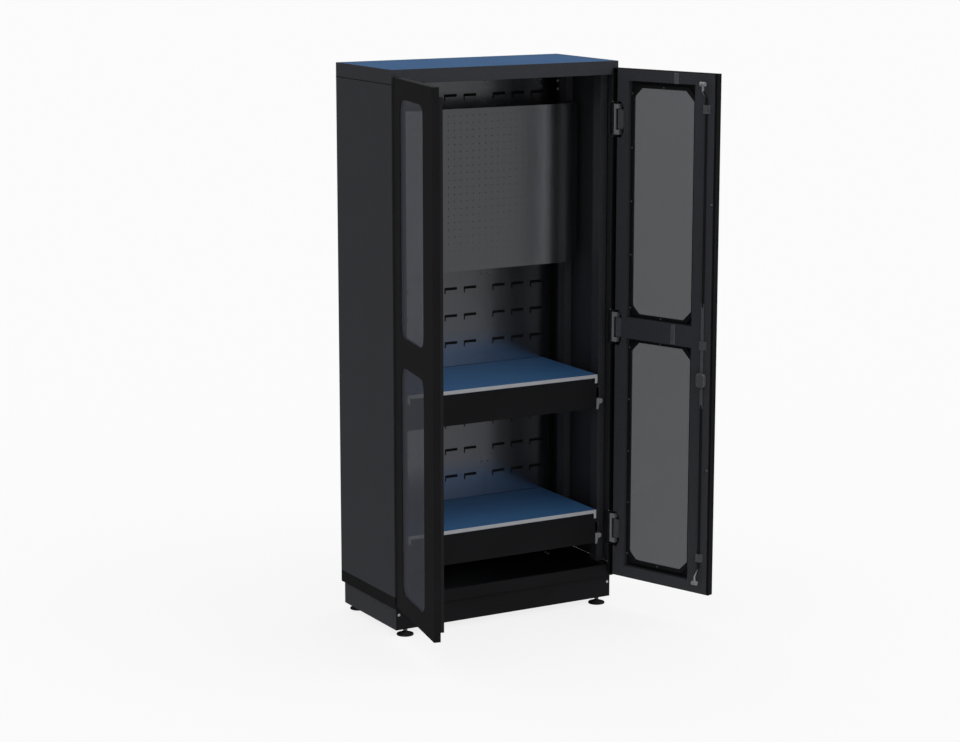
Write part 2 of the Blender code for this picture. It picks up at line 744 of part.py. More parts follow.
def rod_guides(x):
    """Winged clips, welded to the lock stile, that hold the rods against the door."""
    way = BAR_WIDTH / 2 + TRIM_GAP / 2
    wall = way + GUIDE_SHEET
    wing = wall + GUIDE_WING
    foot = door_y(DOOR_THICK - SHEET / 2)
    wing_top = door_y(DOOR_THICK + GUIDE_SHEET)
    roof = door_y(rod_n + ROD_RADIUS + TRIM_GAP / 2)
    top = roof + GUIDE_SHEET
    half = [(way, foot), (wing, foot), (wing, wing_top), (wall, wing_top), (wall, top)]
    outline = [(x + u, v) for u, v in half]
    outline += [(x - u, v) for u, v in reversed(half)]
    outline += [(x - way, roof), (x + way, roof)]
    heights = (door_bottom + GUIDE_FROM_BOTTOM, LOCK_HEIGHT + GUIDE_FROM_LOCK, door_top - GUIDE_FROM_TOP)
    runs = [(outline, z - GUIDE_LENGTH / 2, z + GUIDE_LENGTH / 2) for z in heights]
    return prisms("Z", *runs)


def build_glazing(label, side, axis):
    """Panes behind the windows of the pan, each with the ring that holds it."""
    pane_n = SHEET + SEAT
    ring_n = pane_n + PANE + SEAT
    for place, bottom in window_bottoms.items():
        pane = pane_outline(side, bottom, PANE_LAP)
        piece(f"{place}_pane_{label}", prisms("Y", (pane, door_y(pane_n), door_y(pane_n + PANE))),
              "smoked_glazing", axis)
        outer = pane_outline(side, bottom, RETAINER_WIDTH)
        inner = pane_outline(side, bottom, 0)
        ring = bmesh.new()
        frame_ring(ring, outer, inner, "Y", door_y(ring_n), door_y(ring_n + RETAINER))
        piece(f"{place}_retainer_{label}", ring, "black_paint", axis)


def build_castings(label, side, axis):
    """Hinge castings: a bar along the hinge edge, with an arm at each end that turns on the pin."""
    seat = SHEET + SEAT
    bar = seat + CASTING_BAR
    arm = casting_half - CASTING_ARM
    for place, z in hinge_heights.items():
        ends = (z - casting_half, z + casting_half)
        block = door_box(side, (seat, CASTING_REACH), (seat, seat + CASTING_DEPTH), ends)
        casting = piece(f"hinge_casting_{label}_{place}", boxes(block), "chrome", axis)
        space = door_box(side, (bar, CASTING_REACH + SHEET), (0, DOOR_THICK), (z - arm, z + arm))
        combine(casting, "between_arms", boxes(space))
        bore = circle(side * hinge_x, hinge_y, PIN_RADIUS + SEAT, ROUND)
        combine(casting, "bore", prisms("Z", (bore, z - CASTING_HEIGHT, z + CASTING_HEIGHT)))


def build_closing_strip(side, axis):
    """Angle along the free edge of the left door, which stops the right door."""
    s1 = door_width - SHEET
    s0 = s1 - STRIP_WIDTH
    n0 = DOOR_THICK + SEAT
    edge = door_x(side, s1)
    root = door_x(side, s0)
    inner = edge - math.copysign(SHEET, edge - root)
    outline = [
        (root, door_y(n0)), (edge, door_y(n0)), (edge, door_y(n0 + STRIP_RISE)),
        (inner, door_y(n0 + STRIP_RISE)), (inner, door_y(n0 + SHEET)), (root, door_y(n0 + SHEET)),
    ]
    run = prisms("Z", (outline, door_bottom + STRIP_FROM_END, door_top - STRIP_FROM_END))
    piece("closing_strip_left", run, "black_paint", axis)


# Lock

def build_lock(axis):
    x = door_x(1, rod_s)
    face = DOOR_THICK + SEAT
    case_outline = rounded(x - CASE_WIDTH / 2, x + CASE_WIDTH / 2, LOCK_HEIGHT - CASE_HEIGHT / 2,
                           LOCK_HEIGHT + CASE_HEIGHT / 2, CASE_CORNER)
    case = piece("lock_case", prisms("Y", (case_outline, door_y(face), door_y(face + CASE_DEPTH))),
                 "steel", axis)
    tunnel = BAR_WIDTH / 2 + TRIM_GAP / 2
    roof = rod_n + BAR_THICK / 2 + TRIM_GAP / 2
    combine(case, "tunnel", boxes(((x - tunnel, door_y(DOOR_THICK), LOCK_HEIGHT - CASE_HEIGHT),
                                   (x + tunnel, door_y(roof), LOCK_HEIGHT + CASE_HEIGHT))))

    plate_low = LOCK_HEIGHT - ESCUTCHEON_HEIGHT / 2
    plate_outline = rounded(x - ESCUTCHEON_WIDTH / 2, x + ESCUTCHEON_WIDTH / 2,
                            plate_low, plate_low + ESCUTCHEON_HEIGHT, CASE_CORNER)
    plate = piece("handle_plate", prisms("Y", (plate_outline, door_y(-SEAT - ESCUTCHEON), door_y(-SEAT))),
                  "black_paint", axis)
    hole = circle(x, LOCK_HEIGHT, SPINDLE_RADIUS + SEAT, ROUND)
    combine(plate, "spindle", prisms("Y", (hole, door_y(-2 * ESCUTCHEON), door_y(ESCUTCHEON))))
    build_handle(x, axis)
    top = cap_bottom - ROLLER_REST_GAP - ROLLER_RADIUS
    bottom = base_top + LOWER_ROLLER_REST + ROLLER_RADIUS
    build_lock_rod("lock_rod_upper", x, 1, UPPER_BAR, top, axis)
    build_lock_rod("lock_rod_lower", x, -1, LOWER_BAR, bottom, axis)


def build_handle(x, axis):
    """Lever that hangs from its spindle, which reaches through the door to the lock case."""
    turn = pivot("handle_axis", (x, door_face, LOCK_HEIGHT), axis)
    spindle_end = DOOR_THICK - SEAT
    neck_low = -2 * SEAT - ESCUTCHEON
    profile = [
        (0, -HANDLE_STAND), (HANDLE_NECK, -HANDLE_STAND), (HANDLE_NECK, neck_low), (SPINDLE_RADIUS, neck_low),
        (SPINDLE_RADIUS, spindle_end), (0, spindle_end),
    ]
    shape = bmesh.new()
    turned(shape, profile, (x, door_face, LOCK_HEIGHT), "Y", ROUND)
    handle = piece("door_handle", shape, "black_paint", turn)
    half = LEVER_HEIGHT / 2
    lever = rounded(x - half, x + half, LOCK_HEIGHT - LEVER_LENGTH, LOCK_HEIGHT + half, LEVER_CORNER)
    lever_inner = LEVER_SUNK - HANDLE_STAND
    span = (door_y(lever_inner - LEVER_THICK), door_y(lever_inner))
    combine(handle, "lever", prisms("Y", (lever, *span)), "UNION")


def build_lock_rod(name, x, way, bar, end, axis):
    """Round rod that bends inwards to its rollers, with a flat bar that runs into the case."""
    slide = pivot(f"{name}_slide", (x, door_y(rod_n), LOCK_HEIGHT), axis)
    bar_end = LOCK_HEIGHT + way * bar
    straight_end = end - way * (ROD_TIP + ROD_BEND)
    path = [
        (x, door_y(rod_n), bar_end - way * BAR_WIDTH), (x, door_y(rod_n), straight_end),
        (x, door_y(roller_n), end - way * ROD_TIP), (x, door_y(roller_n), end + way * ROD_RADIUS),
    ]
    shape = bmesh.new()
    round_rod(shape, path, ROD_RADIUS, ROUND)
    rod = piece(name, shape, "steel", slide)
    ends = boxes(((x - BAR_WIDTH / 2, door_y(rod_n - BAR_THICK / 2), LOCK_HEIGHT + way * BAR_FROM_SPINDLE),
                  (x + BAR_WIDTH / 2, door_y(rod_n + BAR_THICK / 2), bar_end)))
    roller = circle(door_y(roller_n), end, ROLLER_RADIUS, ROUND)
    inner = ROD_RADIUS / 2
    outer = ROD_RADIUS + ROLLER_WIDTH
    for low, high in ((inner, outer), (-outer, -inner)):
        prism(ends, roller, "X", x + low, x + high)
    combine(rod, "ends", ends, "UNION")


def build_door(label, side, opening, parent):
    axis = pivot(f"door_axis_{label}", (side * hinge_x, hinge_y, 0), parent, side * opening)
    build_pan(label, side, axis)
    build_door_frame(label, side, axis)
    build_glazing(label, side, axis)
    build_castings(label, side, axis)
    return axis


# Shelves

def runner_outline(side, web, tip, z, height):
    return channel(side * web, side * tip, z - height / 2, z + height / 2, RUNNER_SHEET)


def build_shelf(label, top, parent):
    slide = pivot(f"{label}_shelf_slide", (0, board_front, top), parent)
    under = top - BOARD
    frame_top = under - SEAT
    frame_low = frame_top - FRAME_HEIGHT
    board = boxes(((-shelf_half, board_front, under), (shelf_half, board_rear, top)))
    piece(f"{label}_shelf_board", board, "blue_mat", slide)

    ear_in = shelf_half - EAR_WIDTH
    strip_low = top - EDGE_HEIGHT
    ear_low = top - EAR_HEIGHT
    edge = [
        (-shelf_half, top), (shelf_half, top), (shelf_half, ear_low), (ear_in, ear_low),
        (ear_in, strip_low), (-ear_in, strip_low), (-ear_in, ear_low), (-shelf_half, ear_low),
    ]
    piece(f"{label}_shelf_edge", prisms("Y", (edge, board_front - SEAT - SHEET, board_front - SEAT)),
          "aluminium", slide)

    inside = shelf_half - SHEET
    ring = bmesh.new()
    outer = [(-shelf_half, fascia), (shelf_half, fascia), (shelf_half, board_rear), (-shelf_half, board_rear)]
    inner = [(-inside, fascia + SHEET), (inside, fascia + SHEET), (inside, board_rear - SHEET),
             (-inside, board_rear - SHEET)]
    frame_ring(ring, outer, inner, "Z", frame_low, frame_top)
    frame = piece(f"{label}_shelf_frame", ring, "black_paint", slide)
    build_latch(label, frame_low, slide)

    z = (frame_low + frame_top) / 2
    middle_height = RUNNER_HEIGHT - 2 * RUNNER_SHEET - 2 * SEAT
    inner_height = middle_height - 2 * RUNNER_SHEET - 2 * SEAT
    middle_web = rail_web - RUNNER_SHEET - SEAT
    inner_web = shelf_half - SHEET / 2
    inner_tip = middle_web - RUNNER_SHEET - SEAT
    half_slide = pivot(f"{label}_runner_half_slide", (0, board_front, z), parent)
    inner_runs = []
    for place, side in named_sides():
        inner = runner_outline(side, inner_web, inner_tip, z, inner_height)
        inner_runs.append((inner, runner_front, runner_rear))
        middle = runner_outline(side, middle_web, middle_web - MIDDLE_DEPTH, z, middle_height)
        run = prisms("Y", (middle, runner_front, runner_rear))
        piece(f"{label}_runner_{place}", run, "steel", half_slide)
    combine(frame, "runners", prisms("Y", *inner_runs), "UNION")
    return z


def build_latch(label, frame_low, slide):
    """Release lever beside the right end of the fascia: a stem with a round bulb."""
    left = shelf_half + SEAT
    low = frame_low - LATCH_DROP
    high = low + LATCH_HEIGHT
    turn = pivot(f"{label}_latch_axis", (left + LATCH_STEM / 2, fascia, low + LATCH_PIVOT_RISE), slide)
    bulb = arc(left + LATCH_BULB_OUT, high - LATCH_BULB, LATCH_BULB, -115, 90, 2 * ARC_STEPS)
    outline = [(left, low), (left + LATCH_STEM, low), *bulb, (left, high)]
    lever = prisms("Y", (outline, fascia - TRIM_GAP, fascia - TRIM_GAP + LATCH_THICK))
    piece(f"{label}_shelf_latch", lever, "light_plastic", turn)


cabinet = pivot("cabinet", (0, 0, 0))
build_plinth(cabinet)
build_feet(cabinet)
build_base(cabinet)
build_cap(cabinet)
build_sides(cabinet)
build_back(cabinet)
build_tool_panel(cabinet)
build_brackets(cabinet)
left_axis = build_door("left", -1, LEFT_OPEN, cabinet)
build_closing_strip(-1, left_axis)
build_lock(build_door("right", 1, RIGHT_OPEN, cabinet))
rail_heights = [build_shelf(label, top, cabinet) for label, top in SHELF_TOPS.items()]
build_runner_frames(rail_heights, cabinet)

# The origin is under the middle of the whole cabinet as it stands, doors open
bpy.context.view_layer.update()
corners = [item.matrix_world @ Vector(corner) for item in pieces for corner in item.bound_box]
low = Vector([min(corner[axis] for corner in corners) for axis in range(3)])
high = Vector([max(corner[axis] for corner in corners) for axis in range(3)])
cabinet.location = (-(low.x + high.x) / 2, -(low.y + high.y) / 2, -low.z)
print("pieces", len(pieces), "size", [round(size, 4) for size in high - low])
print("carcass centre at", [round(place, 5) for place in cabinet.location])
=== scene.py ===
# %% [markdown]
# # A workshop cabinet, dressed over its solid model
#
# The solid model gives every sheet, hinge, runner and rod its size and place. This lesson gives
# them their looks: the camera and the studio, one finish for each real coating, and the small
# pieces that a solid model leaves out, such as screws, perforations and rolled edges. All lengths
# are in metres.

# %% Load the solid model
import json
import math

import bpy
from mathutils import Matrix, Vector


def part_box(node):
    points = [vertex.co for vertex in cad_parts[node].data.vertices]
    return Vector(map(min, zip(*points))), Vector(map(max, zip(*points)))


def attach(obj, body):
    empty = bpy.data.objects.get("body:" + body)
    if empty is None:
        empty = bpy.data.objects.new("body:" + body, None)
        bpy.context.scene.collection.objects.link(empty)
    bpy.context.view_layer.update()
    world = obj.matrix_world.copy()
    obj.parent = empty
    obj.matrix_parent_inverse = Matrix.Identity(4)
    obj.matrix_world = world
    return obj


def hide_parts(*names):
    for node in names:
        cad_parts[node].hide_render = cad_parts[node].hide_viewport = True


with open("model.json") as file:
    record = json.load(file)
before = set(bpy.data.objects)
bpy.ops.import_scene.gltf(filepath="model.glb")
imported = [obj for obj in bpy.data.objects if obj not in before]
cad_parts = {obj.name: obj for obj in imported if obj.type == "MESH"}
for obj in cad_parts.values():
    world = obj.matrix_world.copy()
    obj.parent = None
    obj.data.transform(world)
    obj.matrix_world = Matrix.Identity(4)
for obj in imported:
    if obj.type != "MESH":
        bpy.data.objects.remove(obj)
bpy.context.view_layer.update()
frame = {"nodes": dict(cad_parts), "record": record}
nodes = frame["nodes"]
behaviour = frame["record"]["behaviour"]
body_of = {node: body for body, members in behaviour["bodies"].items() for node in members}
slot_of = {item["node"]: item["material_slot"] for item in frame["record"]["subparts"]}

# %% [markdown]
# ## Camera
#
# The cabinet is seen through a long lens, from its left and from a little above its top. Such a
# camera could be set by eye, but then every edge would be a little off. Here the lens and the place
# were worked out from the edges of the body, so the camera needs no shift.

# %% Camera
SENSOR = 36  # millimetres
LENS = 92.685  # millimetres
STANDPOINT = (-4.31486, -7.34738, 2.591)
TILT = 78.82  # degrees, where 90 is level
HEADING = -29.489  # degrees, to the right of straight ahead
VIEW_END = 400
view = bpy.data.cameras.new("view")
view.sensor_width = SENSOR
view.lens = LENS
view.clip_end = VIEW_END
camera = bpy.data.objects.new("view", view)
bpy.context.scene.collection.objects.link(camera)
camera.location = STANDPOINT
camera.rotation_euler = (math.radians(TILT), 0, math.radians(HEADING))
bpy.context.scene.camera = camera
print("camera at", tuple(round(v, 3) for v in camera.location), "lens", view.lens)

# %% [markdown]
# ## Writing shaders as sums
#
# A finish is easier to read as a sum than as a picture of wires. The class below wraps one socket
# of a node. Adding, subtracting, multiplying or comparing sockets adds the Math nodes, also when
# the number comes first. Every other node comes from one method, which takes the kind of node,
# its settings and the values or links of its inputs.

# %% Sockets as values
class Value:
    """One output socket, with arithmetic."""

    def __init__(self, owner, socket):
        self.owner = owner
        self.socket = socket

    def _math(self, operation, first, second):
        return self.owner.node("Math", {"operation": operation}, {0: first, 1: second})["Value"]

    def __add__(self, other):
        return self._math("ADD", self, other)

    def __radd__(self, other):
        return self._math("ADD", other, self)

    def __sub__(self, other):
        return self._math("SUBTRACT", self, other)

    def __rsub__(self, other):
        return self._math("SUBTRACT", other, self)

    def __mul__(self, other):
        return self._math("MULTIPLY", self, other)

    def __rmul__(self, other):
        return self._math("MULTIPLY", other, self)

    def __gt__(self, other):
        return self._math("GREATER_THAN", self, other)

    def __lt__(self, other):
        return self._math("LESS_THAN", self, other)


print("sockets can be added, subtracted, multiplied and compared")


# %% A tree of nodes
class Shading:
    """A node tree that is written as expressions."""

    def __init__(self, tree):
        self.tree = tree

    def node(self, kind, settings=None, inputs=None):
        """Add a node, set it up, feed its inputs, and return its outputs by name."""
        made = self.tree.nodes.new("ShaderNode" + kind)
        for key, value in (settings or {}).items():
            if key == "stops":
                self._stops(made.color_ramp, value)
            else:
                setattr(made, key, value)
        for key, value in (inputs or {}).items():
            self.feed(made.inputs[key], value)
        return {socket.name: Value(self, socket) for socket in made.outputs if socket.enabled}

    def _stops(self, ramp, stops):
        while len(ramp.elements) < len(stops):
            ramp.elements.new(0.5)
        for element, (place, level) in zip(ramp.elements, stops):
            element.position = place
            element.color = (level, level, level, 1.0)

    def feed(self, socket, value):
        """Link a value to an input socket, or set a number on it."""
        if isinstance(value, Value):
            self.tree.links.new(value.socket, socket)
        else:
            socket.default_value = value


print("node trees can be written as expressions")


# %% A finish
class Finish(Shading):
    """One coating or metal."""

    def __init__(self, name, **fixed):
        self.material = bpy.data.materials.new(name)
        self.material.use_nodes = True
        super().__init__(self.material.node_tree)
        self.shader = self.tree.nodes["Principled BSDF"]
        for socket, value in fixed.items():
            self.shader.inputs[socket.replace("_", " ")].default_value = value

    def set(self, **varying):
        """Feed what changes over the surface into the shader."""
        for socket, value in varying.items():
            self.feed(self.shader.inputs[socket.replace("_", " ")], value)

    def place(self, stretch=(1, 1, 1)):
        """Place on the object, stretched so that a pattern can run along one way."""
        spot = self.node("TexCoord")["Object"]
        return self.node("VectorMath", {"operation": "MULTIPLY"}, {0: spot, 1: stretch})["Vector"]

    def noise(self, scale, detail=2.0, stretch=(1, 1, 1)):
        """Cloudy values from 0 to 1, finer where the scale is larger."""
        inputs = {"Vector": self.place(stretch), "Scale": scale, "Detail": detail}
        return self.node("TexNoise", None, inputs)["Fac"]

    def steps(self, value, *stops):
        """Bend a value through a ramp of places and levels."""
        return self.node("ValToRGB", {"stops": stops}, {"Fac": value})["Color"]

    def blend(self, share, first, second):
        """Mix two colours."""
        return self.node("Mix", {"data_type": "RGBA"}, {0: share, 6: first, 7: second})["Result"]

    def bump(self, height, strength, distance):
        """Tilt the surface by a height."""
        inputs = {"Strength": strength, "Distance": distance, "Height": height}
        return self.node("Bump", None, inputs)["Normal"]


def colour(red, green, blue):
    """A colour from its screen values of 0 to 255, by the curve that screens use."""
    return tuple(((v / 255 + 0.055) / 1.055) ** 2.4 for v in (red, green, blue)) + (1.0,)


print("shader helpers ready")

# %% [markdown]
# ## The studio
#
# The cabinet stands on a white sweep. Lamps alone would have to be very bright to make the sweep
# white, and would wash out the black paint. So the sweep and the world are white where the camera
# looks at them, also through a pane, and give a level light to everything else. A first reflection
# finds a dim studio, darker near the floor than overhead, as a real one is away from its backdrop.
# A second reflection has been turned back toward the backdrop, and finds it bright. Between the two
# lies the level of a reflection that is seen through a pane.

# %% Which way a ray came
WHITE = 0.980
DIM = 0.10
TWICE = 0.85
THROUGH = 0.60
ONE_PANE = 0.5  # panes and mirrors are counted in whole numbers, so a half tells them apart
TWO_MIRRORS = 1.5


def rays(shading):
    """Tell rays that look, mirror or spread light apart, by the path they came."""
    path = shading.node("LightPath")
    mirrored = path["Is Glossy Ray"]
    return {
        "looked_at": path["Is Camera Ray"] + path["Is Transmission Ray"],
        "mirrored": mirrored,
        "through": mirrored * (path["Transparent Depth"] > ONE_PANE),
        "again": path["Glossy Depth"] > TWO_MIRRORS,
        "spread": path["Is Diffuse Ray"],
    }


def seen(ray, once):
    """Brightness for the camera and for mirrors, from the level that a first mirror finds."""
    level = once + ray["again"] * (TWICE - once)
    direct = ray["looked_at"] * WHITE + ray["through"] * THROUGH
    return direct + (ray["mirrored"] - ray["through"]) * level


print("studio", WHITE, "to the camera,", DIM, "in one mirror,", TWICE, "in two")

# %% [markdown]
# The floor is one wide plane. It glows for every ray that looks, mirrors or spreads light, and so
# sends a soft light up at the cabinet. A small share of it stays an ordinary white surface, which
# keeps a faint shadow under the feet.

# %% Floor
FLOOR_SIZE = 300
BOUNCE = 1.08
SHADE_KEPT = 0.16
CHALK = (0.9, 0.9, 0.9, 1.0)
bpy.ops.object.select_all(action="DESELECT")
bpy.ops.mesh.primitive_plane_add(size=FLOOR_SIZE, location=(0, 0, 0))
floor = bpy.context.active_object
floor.name = "studio_floor"
sweep = Finish("studio_white", Roughness=1.0, Base_Color=CHALK, Specular_IOR_Level=0.0)
ray = rays(sweep)
light = seen(ray, DIM) + ray["spread"] * BOUNCE
glow = sweep.node("Emission", None, {"Strength": light})["Emission"]
lit = Value(sweep, sweep.shader.outputs["BSDF"])
share = ray["looked_at"] * (1 - SHADE_KEPT) + ray["mirrored"] + ray["spread"]
mixed = sweep.node("MixShader", None, {0: share, 1: lit, 2: glow})["Shader"]
sweep.feed(sweep.tree.nodes["Material Output"].inputs["Surface"], mixed)
floor.data.materials.append(sweep.material)
print("floor", floor.dimensions.x, "m wide")

# %% [markdown]
# The world lights the cabinet evenly from all sides. One wide, weak lamp, above it, in front and to
# its right, adds what tells one side of the cabinet from the other.

# %% World
LEVEL = 0.86
OVERHEAD = 0.75
RISE_FROM = 0.15  # height of a direction, where 1 is straight up
RISE_TO = 0.9
world = bpy.data.worlds.new("studio")
world.use_nodes = True
bpy.context.scene.world = world
sky = Shading(world.node_tree)
ray = rays(sky)
height = sky.node("SeparateXYZ", None, {0: sky.node("TexCoord")["Generated"]})["Z"]
slope = {"Value": height, 1: RISE_FROM, 2: RISE_TO, 3: DIM, 4: OVERHEAD}
rise = sky.node("MapRange", None, slope)["Result"]
elsewhere = 1 - ray["looked_at"] - ray["mirrored"]
background = world.node_tree.nodes["Background"]
background.inputs["Color"].default_value = (1, 1, 1, 1)
sky.feed(background.inputs["Strength"], seen(ray, rise) + elsewhere * LEVEL)
print("world level", LEVEL)

# %% Lamp
LAMP_POWER = 0.6
LAMP_SPREAD = 50  # degrees
LAMP_TURN = (38, 0, 35)  # degrees
lamp = bpy.data.lights.new("key", "SUN")
lamp.energy = LAMP_POWER
lamp.angle = math.radians(LAMP_SPREAD)
key = bpy.data.objects.new("key", lamp)
key.rotation_euler = [math.radians(turn) for turn in LAMP_TURN]
bpy.context.scene.collection.objects.link(key)
bpy.context.scene.view_settings.view_transform = "Standard"
print("key lamp", round(lamp.energy, 2))

# %% [markdown]
# ## Finishes
#
# Powder coat is a thin, slightly pebbled skin: a fine noise lifts the surface and changes the
# roughness a little, and a wide noise makes the colour uneven, as handling does. It reflects
# little, so its specular level is low.

# %% Painted sheet
finishes = {}
black = Finish("satin_black_paint", Specular_IOR_Level=0.18)
peel = black.noise(scale=1300)
handled = black.noise(scale=5, detail=3)
black.set(
    Base_Color=black.blend(handled, colour(19, 19, 21), colour(27, 27, 30)),
    Roughness=0.40 + 0.16 * peel,
    Normal=black.bump(peel, strength=0.12, distance=0.0004),
)
finishes["black_paint"] = black

slate = Finish("textured_slate_paint", Specular_IOR_Level=0.2)
pebble = slate.noise(scale=420, detail=4)
cloud = slate.noise(scale=7, detail=3)
speckle = slate.steps(pebble, (0.3, 0), (0.7, 1))
slate.set(
    Base_Color=slate.blend(speckle, colour(42, 43, 47), colour(60, 61, 66)),
    Roughness=0.5 + 0.2 * cloud,
    Normal=slate.bump(pebble, strength=0.35, distance=0.0006),
)
finishes["grey_paint"] = slate
print("paints:", *finishes)

# %% [markdown]
# The slotted back and the perforated panel are brushed steel. They look dark because a metal shows
# only what it mirrors, and the cabinet is dark inside. They mirror the shelf in front of them,
# blurred. Fine noise, squeezed across and drawn out in height, gives the brush lines, which vary
# the roughness and tilt the surface a little. The perforated panel is the smoother of the two.

# %% Brushed panels
def brushed_steel(name, roughness):
    """Steel with upright brush lines."""
    panel = Finish(name, Metallic=1.0)
    line = panel.noise(scale=1, detail=3, stretch=(900, 900, 5))
    tone = panel.noise(scale=4, detail=2)
    panel.set(
        Base_Color=panel.blend(line, colour(202, 204, 210), colour(218, 220, 225)),
        Roughness=roughness + 0.08 * line + 0.05 * tone,
        Normal=panel.bump(line, strength=0.05, distance=0.0003),
    )
    return panel


finishes["panel_paint"] = brushed_steel("dark_brushed_steel", roughness=0.17)
smoother = brushed_steel("fine_brushed_steel", roughness=0.13)
print("brushed panels:", finishes["panel_paint"].material.name, smoother.material.name)

# %% [markdown]
# The top and the shelves are covered with blue anti-static sheet, a matt rubbery laminate. A fine
# noise gives its grain and a wide one its wear. The mat on top is painted a little darker than the
# boards, as painted shade on the top, though its laminate is the same. So one material serves both
# and tells them apart by their height above the floor.

# %% Blue anti-static top
# Above this height the blue is painted darker: painted shade on the top mat.
PAINTED_SHADE_FROM = 1.9
blue = Finish("blue_mat", Specular_IOR_Level=0.06)
weave = blue.noise(scale=700, detail=3)
worn = blue.noise(scale=6, detail=4)
height = blue.node("SeparateXYZ", None, {0: blue.place()})["Z"]
board = blue.blend(worn, colour(60, 102, 147), colour(66, 110, 157))
# The darker blue of the top mat is painted shade, not a laminate of its own.
mat_in_painted_shade = blue.blend(worn, colour(55, 90, 130), colour(61, 98, 140))
blue.set(
    Base_Color=blue.blend(height > PAINTED_SHADE_FROM, board, mat_in_painted_shade),
    Roughness=0.5 + 0.15 * weave,
    Normal=blue.bump(weave, strength=0.2, distance=0.0004),
)
finishes["blue_mat"] = blue
print("panels and tops:", *finishes)

# %% [markdown]
# ## Bare metal
#
# The shelf edge is brushed along its length, the hinges are cast and plated, and the lock rods are
# dark zinc. Noise drawn out along the strip gives its brush lines. On the castings and the zinc it
# stays round, and gives the faint unevenness of plating.

# %% Metals
aluminium = Finish("brushed_aluminium", Metallic=0.6)
brushed = aluminium.noise(scale=1, detail=3, stretch=(8, 1200, 1200))
aluminium.set(
    Base_Color=aluminium.blend(brushed, colour(212, 215, 221), colour(234, 236, 240)),
    Roughness=0.3 + 0.15 * brushed,
)
finishes["aluminium"] = aluminium

chrome = Finish("plated_casting", Metallic=0.55)
cast = chrome.noise(scale=260, detail=3)
chrome.set(
    Base_Color=chrome.blend(cast, colour(160, 162, 166), colour(186, 188, 192)),
    Roughness=0.22 + 0.16 * cast,
    Normal=chrome.bump(cast, strength=0.08, distance=0.0005),
)
finishes["chrome"] = chrome

zinc = Finish("dark_zinc", Metallic=0.6)
crystal = zinc.noise(scale=150, detail=4)
zinc.set(
    Base_Color=zinc.blend(crystal, colour(96, 97, 101), colour(124, 125, 129)),
    Roughness=0.34 + 0.2 * crystal,
)
finishes["steel"] = zinc
print("metals:", aluminium.material.name, chrome.material.name, zinc.material.name)

# %% [markdown]
# ## Glazing, plastic and rubber
#
# The panes are smoked: each face lets a little less than a third of the light through. A glass
# shader would bend the light and cost time, so alpha lets it through straight. The pads of the feet
# and the seals are rubber with a little dust, which makes it paler and rougher in places.

# %% Glazing, plastic and rubber
glazing = Finish("smoked_glazing", Roughness=0.15, Specular_IOR_Level=0.35)
haze = glazing.noise(scale=9, detail=3)
glazing.set(
    Base_Color=glazing.blend(haze, colour(59, 62, 74), colour(66, 69, 81)),
    Alpha=0.70 + 0.02 * haze,
)
finishes["smoked_glazing"] = glazing

plastic = Finish("grey_plastic", Specular_IOR_Level=0.3)
grain = plastic.noise(scale=500, detail=3)
plastic.set(
    Base_Color=plastic.blend(grain, colour(106, 107, 111), colour(120, 121, 125)),
    Roughness=0.4 + 0.15 * grain,
    Normal=plastic.bump(grain, strength=0.1, distance=0.0003),
)
finishes["light_plastic"] = plastic

rubber = Finish("black_rubber", Specular_IOR_Level=0.2)
dust = rubber.noise(scale=120, detail=5)
rubber.set(
    Base_Color=rubber.blend(dust, colour(20, 20, 21), colour(34, 34, 35)),
    Roughness=0.7 + 0.2 * dust,
    Normal=rubber.bump(dust, strength=0.15, distance=0.0006),
)
finishes["black_rubber"] = rubber
print("finishes:", *finishes)

# %% [markdown]
# Every solid names the slot of its finish in the record, so one loop paints the whole model. The
# pieces that are made later take their finishes from the same list.

# %% Every solid takes its finish
for name, item in nodes.items():
    item.data.materials.clear()
    item.data.materials.append(finishes[slot_of[name]].material)
print("painted", len(nodes), "solids")

# %% [markdown]
# ## Working by hand, in code
#
# Blender's operators act on what is selected. These helpers select one piece, pick its points by
# their place, apply a modifier, and put a finished piece on the body that carries it.

# %% Selecting and changing
def alone(*pieces):
    """Select these pieces and nothing else."""
    if bpy.context.mode != "OBJECT":
        bpy.ops.object.mode_set(mode="OBJECT")
    bpy.ops.object.select_all(action="DESELECT")
    for piece in pieces:
        piece.select_set(True)
    bpy.context.view_layer.objects.active = pieces[0]


def pick(test):
    """Select the points of the active piece that pass a test, in edit mode."""
    piece = bpy.context.active_object
    bpy.ops.object.mode_set(mode="EDIT")
    bpy.ops.mesh.select_mode(type="VERT")
    bpy.ops.mesh.select_all(action="DESELECT")
    bpy.ops.object.mode_set(mode="OBJECT")
    for point in piece.data.vertices:
        point.select = test(point.co)
    bpy.ops.object.mode_set(mode="EDIT")


def modify(piece, kind, **settings):
    """Add a modifier and apply it."""
    alone(piece)
    step = piece.modifiers.new(kind.lower(), kind)
    for key, value in settings.items():
        setattr(step, key, value)
    bpy.ops.object.modifier_apply(modifier=step.name)


def break_edges(piece, width, sharper_than):
    """Bevel the edges that turn by more than an angle in degrees."""
    modify(piece, "BEVEL", width=width, segments=2, limit_method="ANGLE",
           angle_limit=math.radians(sharper_than))


print("helpers for selecting and changing ready")


# %% Copying and settling
def copy_of(source, name, place=Matrix.Identity(4)):
    """A copy with a mesh of its own, at its place."""
    copy = bpy.data.objects.new(name, source.data.copy())
    bpy.context.scene.collection.objects.link(copy)
    copy.matrix_world = place
    return copy


def settle(piece, name, body, slot, *stands_for):
    """Put a piece's place in its mesh, give it its finish, and let it ride on its body."""
    alone(piece)
    bpy.ops.object.transform_apply(location=True, rotation=True, scale=True)
    piece.name = piece.data.name = name
    piece.data.materials.clear()
    piece.data.materials.append(finishes[slot].material)
    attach(piece, body)
    for node in stands_for:
        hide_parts(node)
    return piece


print("helpers for copying and settling ready")

